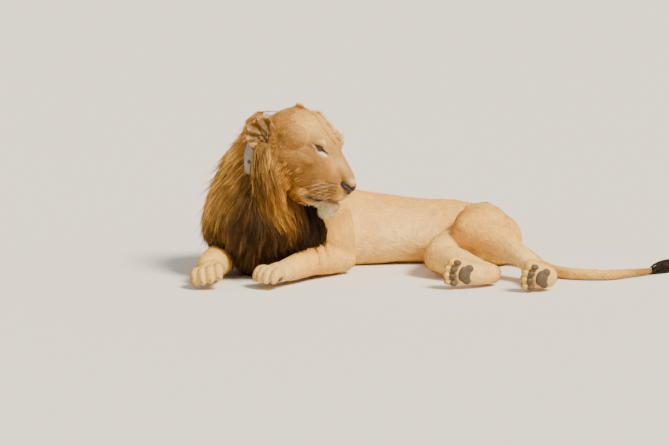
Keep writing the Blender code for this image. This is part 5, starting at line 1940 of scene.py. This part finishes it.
# Half of the strap's section, from its edge inwards: height, place across the strap.
STRAP_EDGE = [(0.0000, 0.0218), (0.0012, 0.0230), (0.0038, 0.0230), (0.0048, 0.0220), (0.0050, 0.0192),
              (0.0042, 0.0175), (0.0050, 0.0158)]
STITCH_PLACE, STITCH_SIZE, STITCH_ROUNDING = (0.0175, 0.0046), (0.0056, 0.0011, 0.0010), 0.0004
UNIT_WIDE, UNIT_DEEP, UNIT_TALL = 0.056, 0.048, 0.030
UNIT_BODY, UNIT_COVER, COVER_INSET, COVER_MIDDLE = 0.021, 0.011, 0.002, 0.0060
BODY_ROUNDING, COVER_ROUNDING = 0.0060, 0.0042
SCREW_RADIUS, SCREW_HEIGHT, SCREW_SUNK = 0.0024, 0.0012, 0.0016
# Where the screws are, as shares of the unit's width and depth.
SCREW_ACROSS, SCREW_ALONG = 0.32, 0.304
STUD_TURN, STUD_RADIUS, STUD_HEAD = 92, 0.007, 0.72
STUD_FOOT_TALL, STUD_HEAD_AT, STUD_HEAD_TALL = 0.0016, 0.0014, 0.0026


def on_collar(turn, *move):
    """A frame on the collar, turn degrees from its top and moved so far: round, across and outwards."""
    top = (Vector((0, 0, 1)) - COLLAR_AXIS * COLLAR_AXIS.z).normalized()
    a = math.radians(turn)
    out = top * math.cos(a) + COLLAR_AXIS.cross(top) * math.sin(a)
    radius = math.hypot(COLLAR_RADII[1] * math.cos(a), COLLAR_RADII[0] * math.sin(a))
    turned = Matrix((COLLAR_AXIS.cross(out), COLLAR_AXIS, out)).transposed().to_4x4()
    return Matrix.Translation(COLLAR_CENTRE + out * radius) @ turned @ Matrix.Translation(move or (0, 0, 0))


def strap_form(bm):
    """Belting with a groove along each edge for its stitches."""
    edge = STRAP_EDGE + [(away, -across) for away, across in STRAP_EDGE[::-1]]
    rings = []
    for k in range(STRAP_STEPS):
        place = on_collar(360 * k / STRAP_STEPS)
        rings.append([bm.verts.new(place @ Vector((0, across, away))) for away, across in edge])
    for k in range(STRAP_STEPS):
        one, two = rings[k], rings[(k + 1) % STRAP_STEPS]
        for c in range(len(edge)):
            bm.faces.new((one[c - 1], one[c], two[c], two[c - 1]))


def block(bm, place, size, rounding, segments):
    """A box with its edges rounded, its middle at the place."""
    part = bmesh.new()
    bmesh.ops.create_cube(part, size=1.0)
    part.transform(Matrix.Diagonal((*size, 1.0)))
    bmesh.ops.bevel(part, geom=part.edges[:], offset=rounding, segments=segments, affect="EDGES", profile=0.5)
    part.transform(place)
    bm.from_mesh(mesh_of(part, "block"))


def disc(bm, place, radius, height, steps=28):
    """A round boss with a rounded top, standing on the place."""
    turns = [2 * math.pi * k / steps for k in range(steps)]
    rings = []
    for share, level in ((1.0, 0.0), (1.0, 0.55), (0.94, 0.80), (0.70, 0.96)):
        reach, up = radius * share, height * level
        points = [Vector((reach * math.cos(a), reach * math.sin(a), up)) for a in turns]
        rings.append([bm.verts.new(place @ point) for point in points])
    skinned(bm, rings)


def stitches_form(bm):
    """A row of stitches in the groove along each edge of the strap."""
    across, up = STITCH_PLACE
    for k in range(STITCHES):
        for side in (-1, 1):
            place = on_collar(360 * (k + 0.5) / STITCHES, 0, side * across, up)
            block(bm, place, STITCH_SIZE, STITCH_ROUNDING, 1)


def unit_form(bm):
    """The unit's body, its cover and the four screws that hold it."""
    top = STRAP_THICK + UNIT_TALL
    middle = on_collar(0, 0, 0, STRAP_THICK + UNIT_BODY / 2)
    block(bm, middle, (UNIT_WIDE, UNIT_DEEP, UNIT_BODY), BODY_ROUNDING, 5)
    cover = (UNIT_WIDE - COVER_INSET, UNIT_DEEP - COVER_INSET, UNIT_COVER)
    block(bm, on_collar(0, 0, 0, top - COVER_MIDDLE), cover, COVER_ROUNDING, 4)
    for x in (-SCREW_ACROSS, SCREW_ACROSS):
        for y in (-SCREW_ALONG, SCREW_ALONG):
            place = on_collar(0, x * UNIT_WIDE, y * UNIT_DEEP, top - SCREW_SUNK)
            disc(bm, place, SCREW_RADIUS, SCREW_HEIGHT, 16)


def stud_form(bm):
    """The stud's foot on the strap, and its narrower head."""
    disc(bm, on_collar(STUD_TURN, 0, 0, STRAP_THICK), STUD_RADIUS, STUD_FOOT_TALL)
    head_place = on_collar(STUD_TURN, 0, 0, STRAP_THICK + STUD_HEAD_AT)
    disc(bm, head_place, STUD_RADIUS * STUD_HEAD, STUD_HEAD_TALL)


placed(link("strap", form_mesh(strap_form)), "strap", STRAP, "collar_strap", "collar_strap")
placed(link("strap_stitches", form_mesh(stitches_form)), "strap_stitches", THREAD, "collar_strap")
placed(link("unit", form_mesh(unit_form)), "unit", CASE, "collar_unit", "collar_unit")
placed(link("stud", form_mesh(stud_form)), "stud", RIVET, "collar_stud", "collar_stud")

# ---------------------------------------------------------------- stage, light and camera
FLOOR_HALF = 45.0
DAYLIGHT, DAYLIGHT_STRENGTH = (1.0, 0.98, 0.95, 1.0), 0.60
LENS, SENSOR, FARTHEST = 120.0, 36.0, 60.0
CAMERA_PLACE, CAMERA_DROP = (0.0, -8.0, 1.42), 8.653


def sun_light(name, place, spread, power, colour):
    """A soft sun that shines from its place towards the lion."""
    data = bpy.data.lights.new(name, "SUN")
    data.angle, data.energy, data.color = math.radians(spread), power, colour
    sun = link(name, data)
    sun.location = Vector(place) + SHIFT
    sun.rotation_euler = (-Vector(place)).to_track_quat("-Z", "Y").to_euler()


bm = bmesh.new()
bmesh.ops.create_grid(bm, x_segments=1, y_segments=1, size=FLOOR_HALF)
floor = link("floor", mesh_of(bm, "floor"))
floor.data.materials.append(FLOOR)

sun_light("key", (2.9, -2.3, 4.2), 18.0, 7.6, (1.0, 0.91, 0.76))
sun_light("fill", (-2.8, -4.2, 2.2), 60.0, 0.55, (1.0, 0.97, 0.93))
world = bpy.data.worlds.new("studio")
world.use_nodes = True
world.node_tree.nodes["Background"].inputs["Color"].default_value = DAYLIGHT
world.node_tree.nodes["Background"].inputs["Strength"].default_value = DAYLIGHT_STRENGTH
bpy.context.scene.world = world

camera_data = bpy.data.cameras.new("camera")
camera_data.lens, camera_data.sensor_width, camera_data.clip_end = LENS, SENSOR, FARTHEST
camera = link("camera", camera_data)
camera.location = Vector(CAMERA_PLACE) + SHIFT
camera.rotation_euler = (math.radians(90 - CAMERA_DROP), 0.0, 0.0)
bpy.context.scene.camera = camera
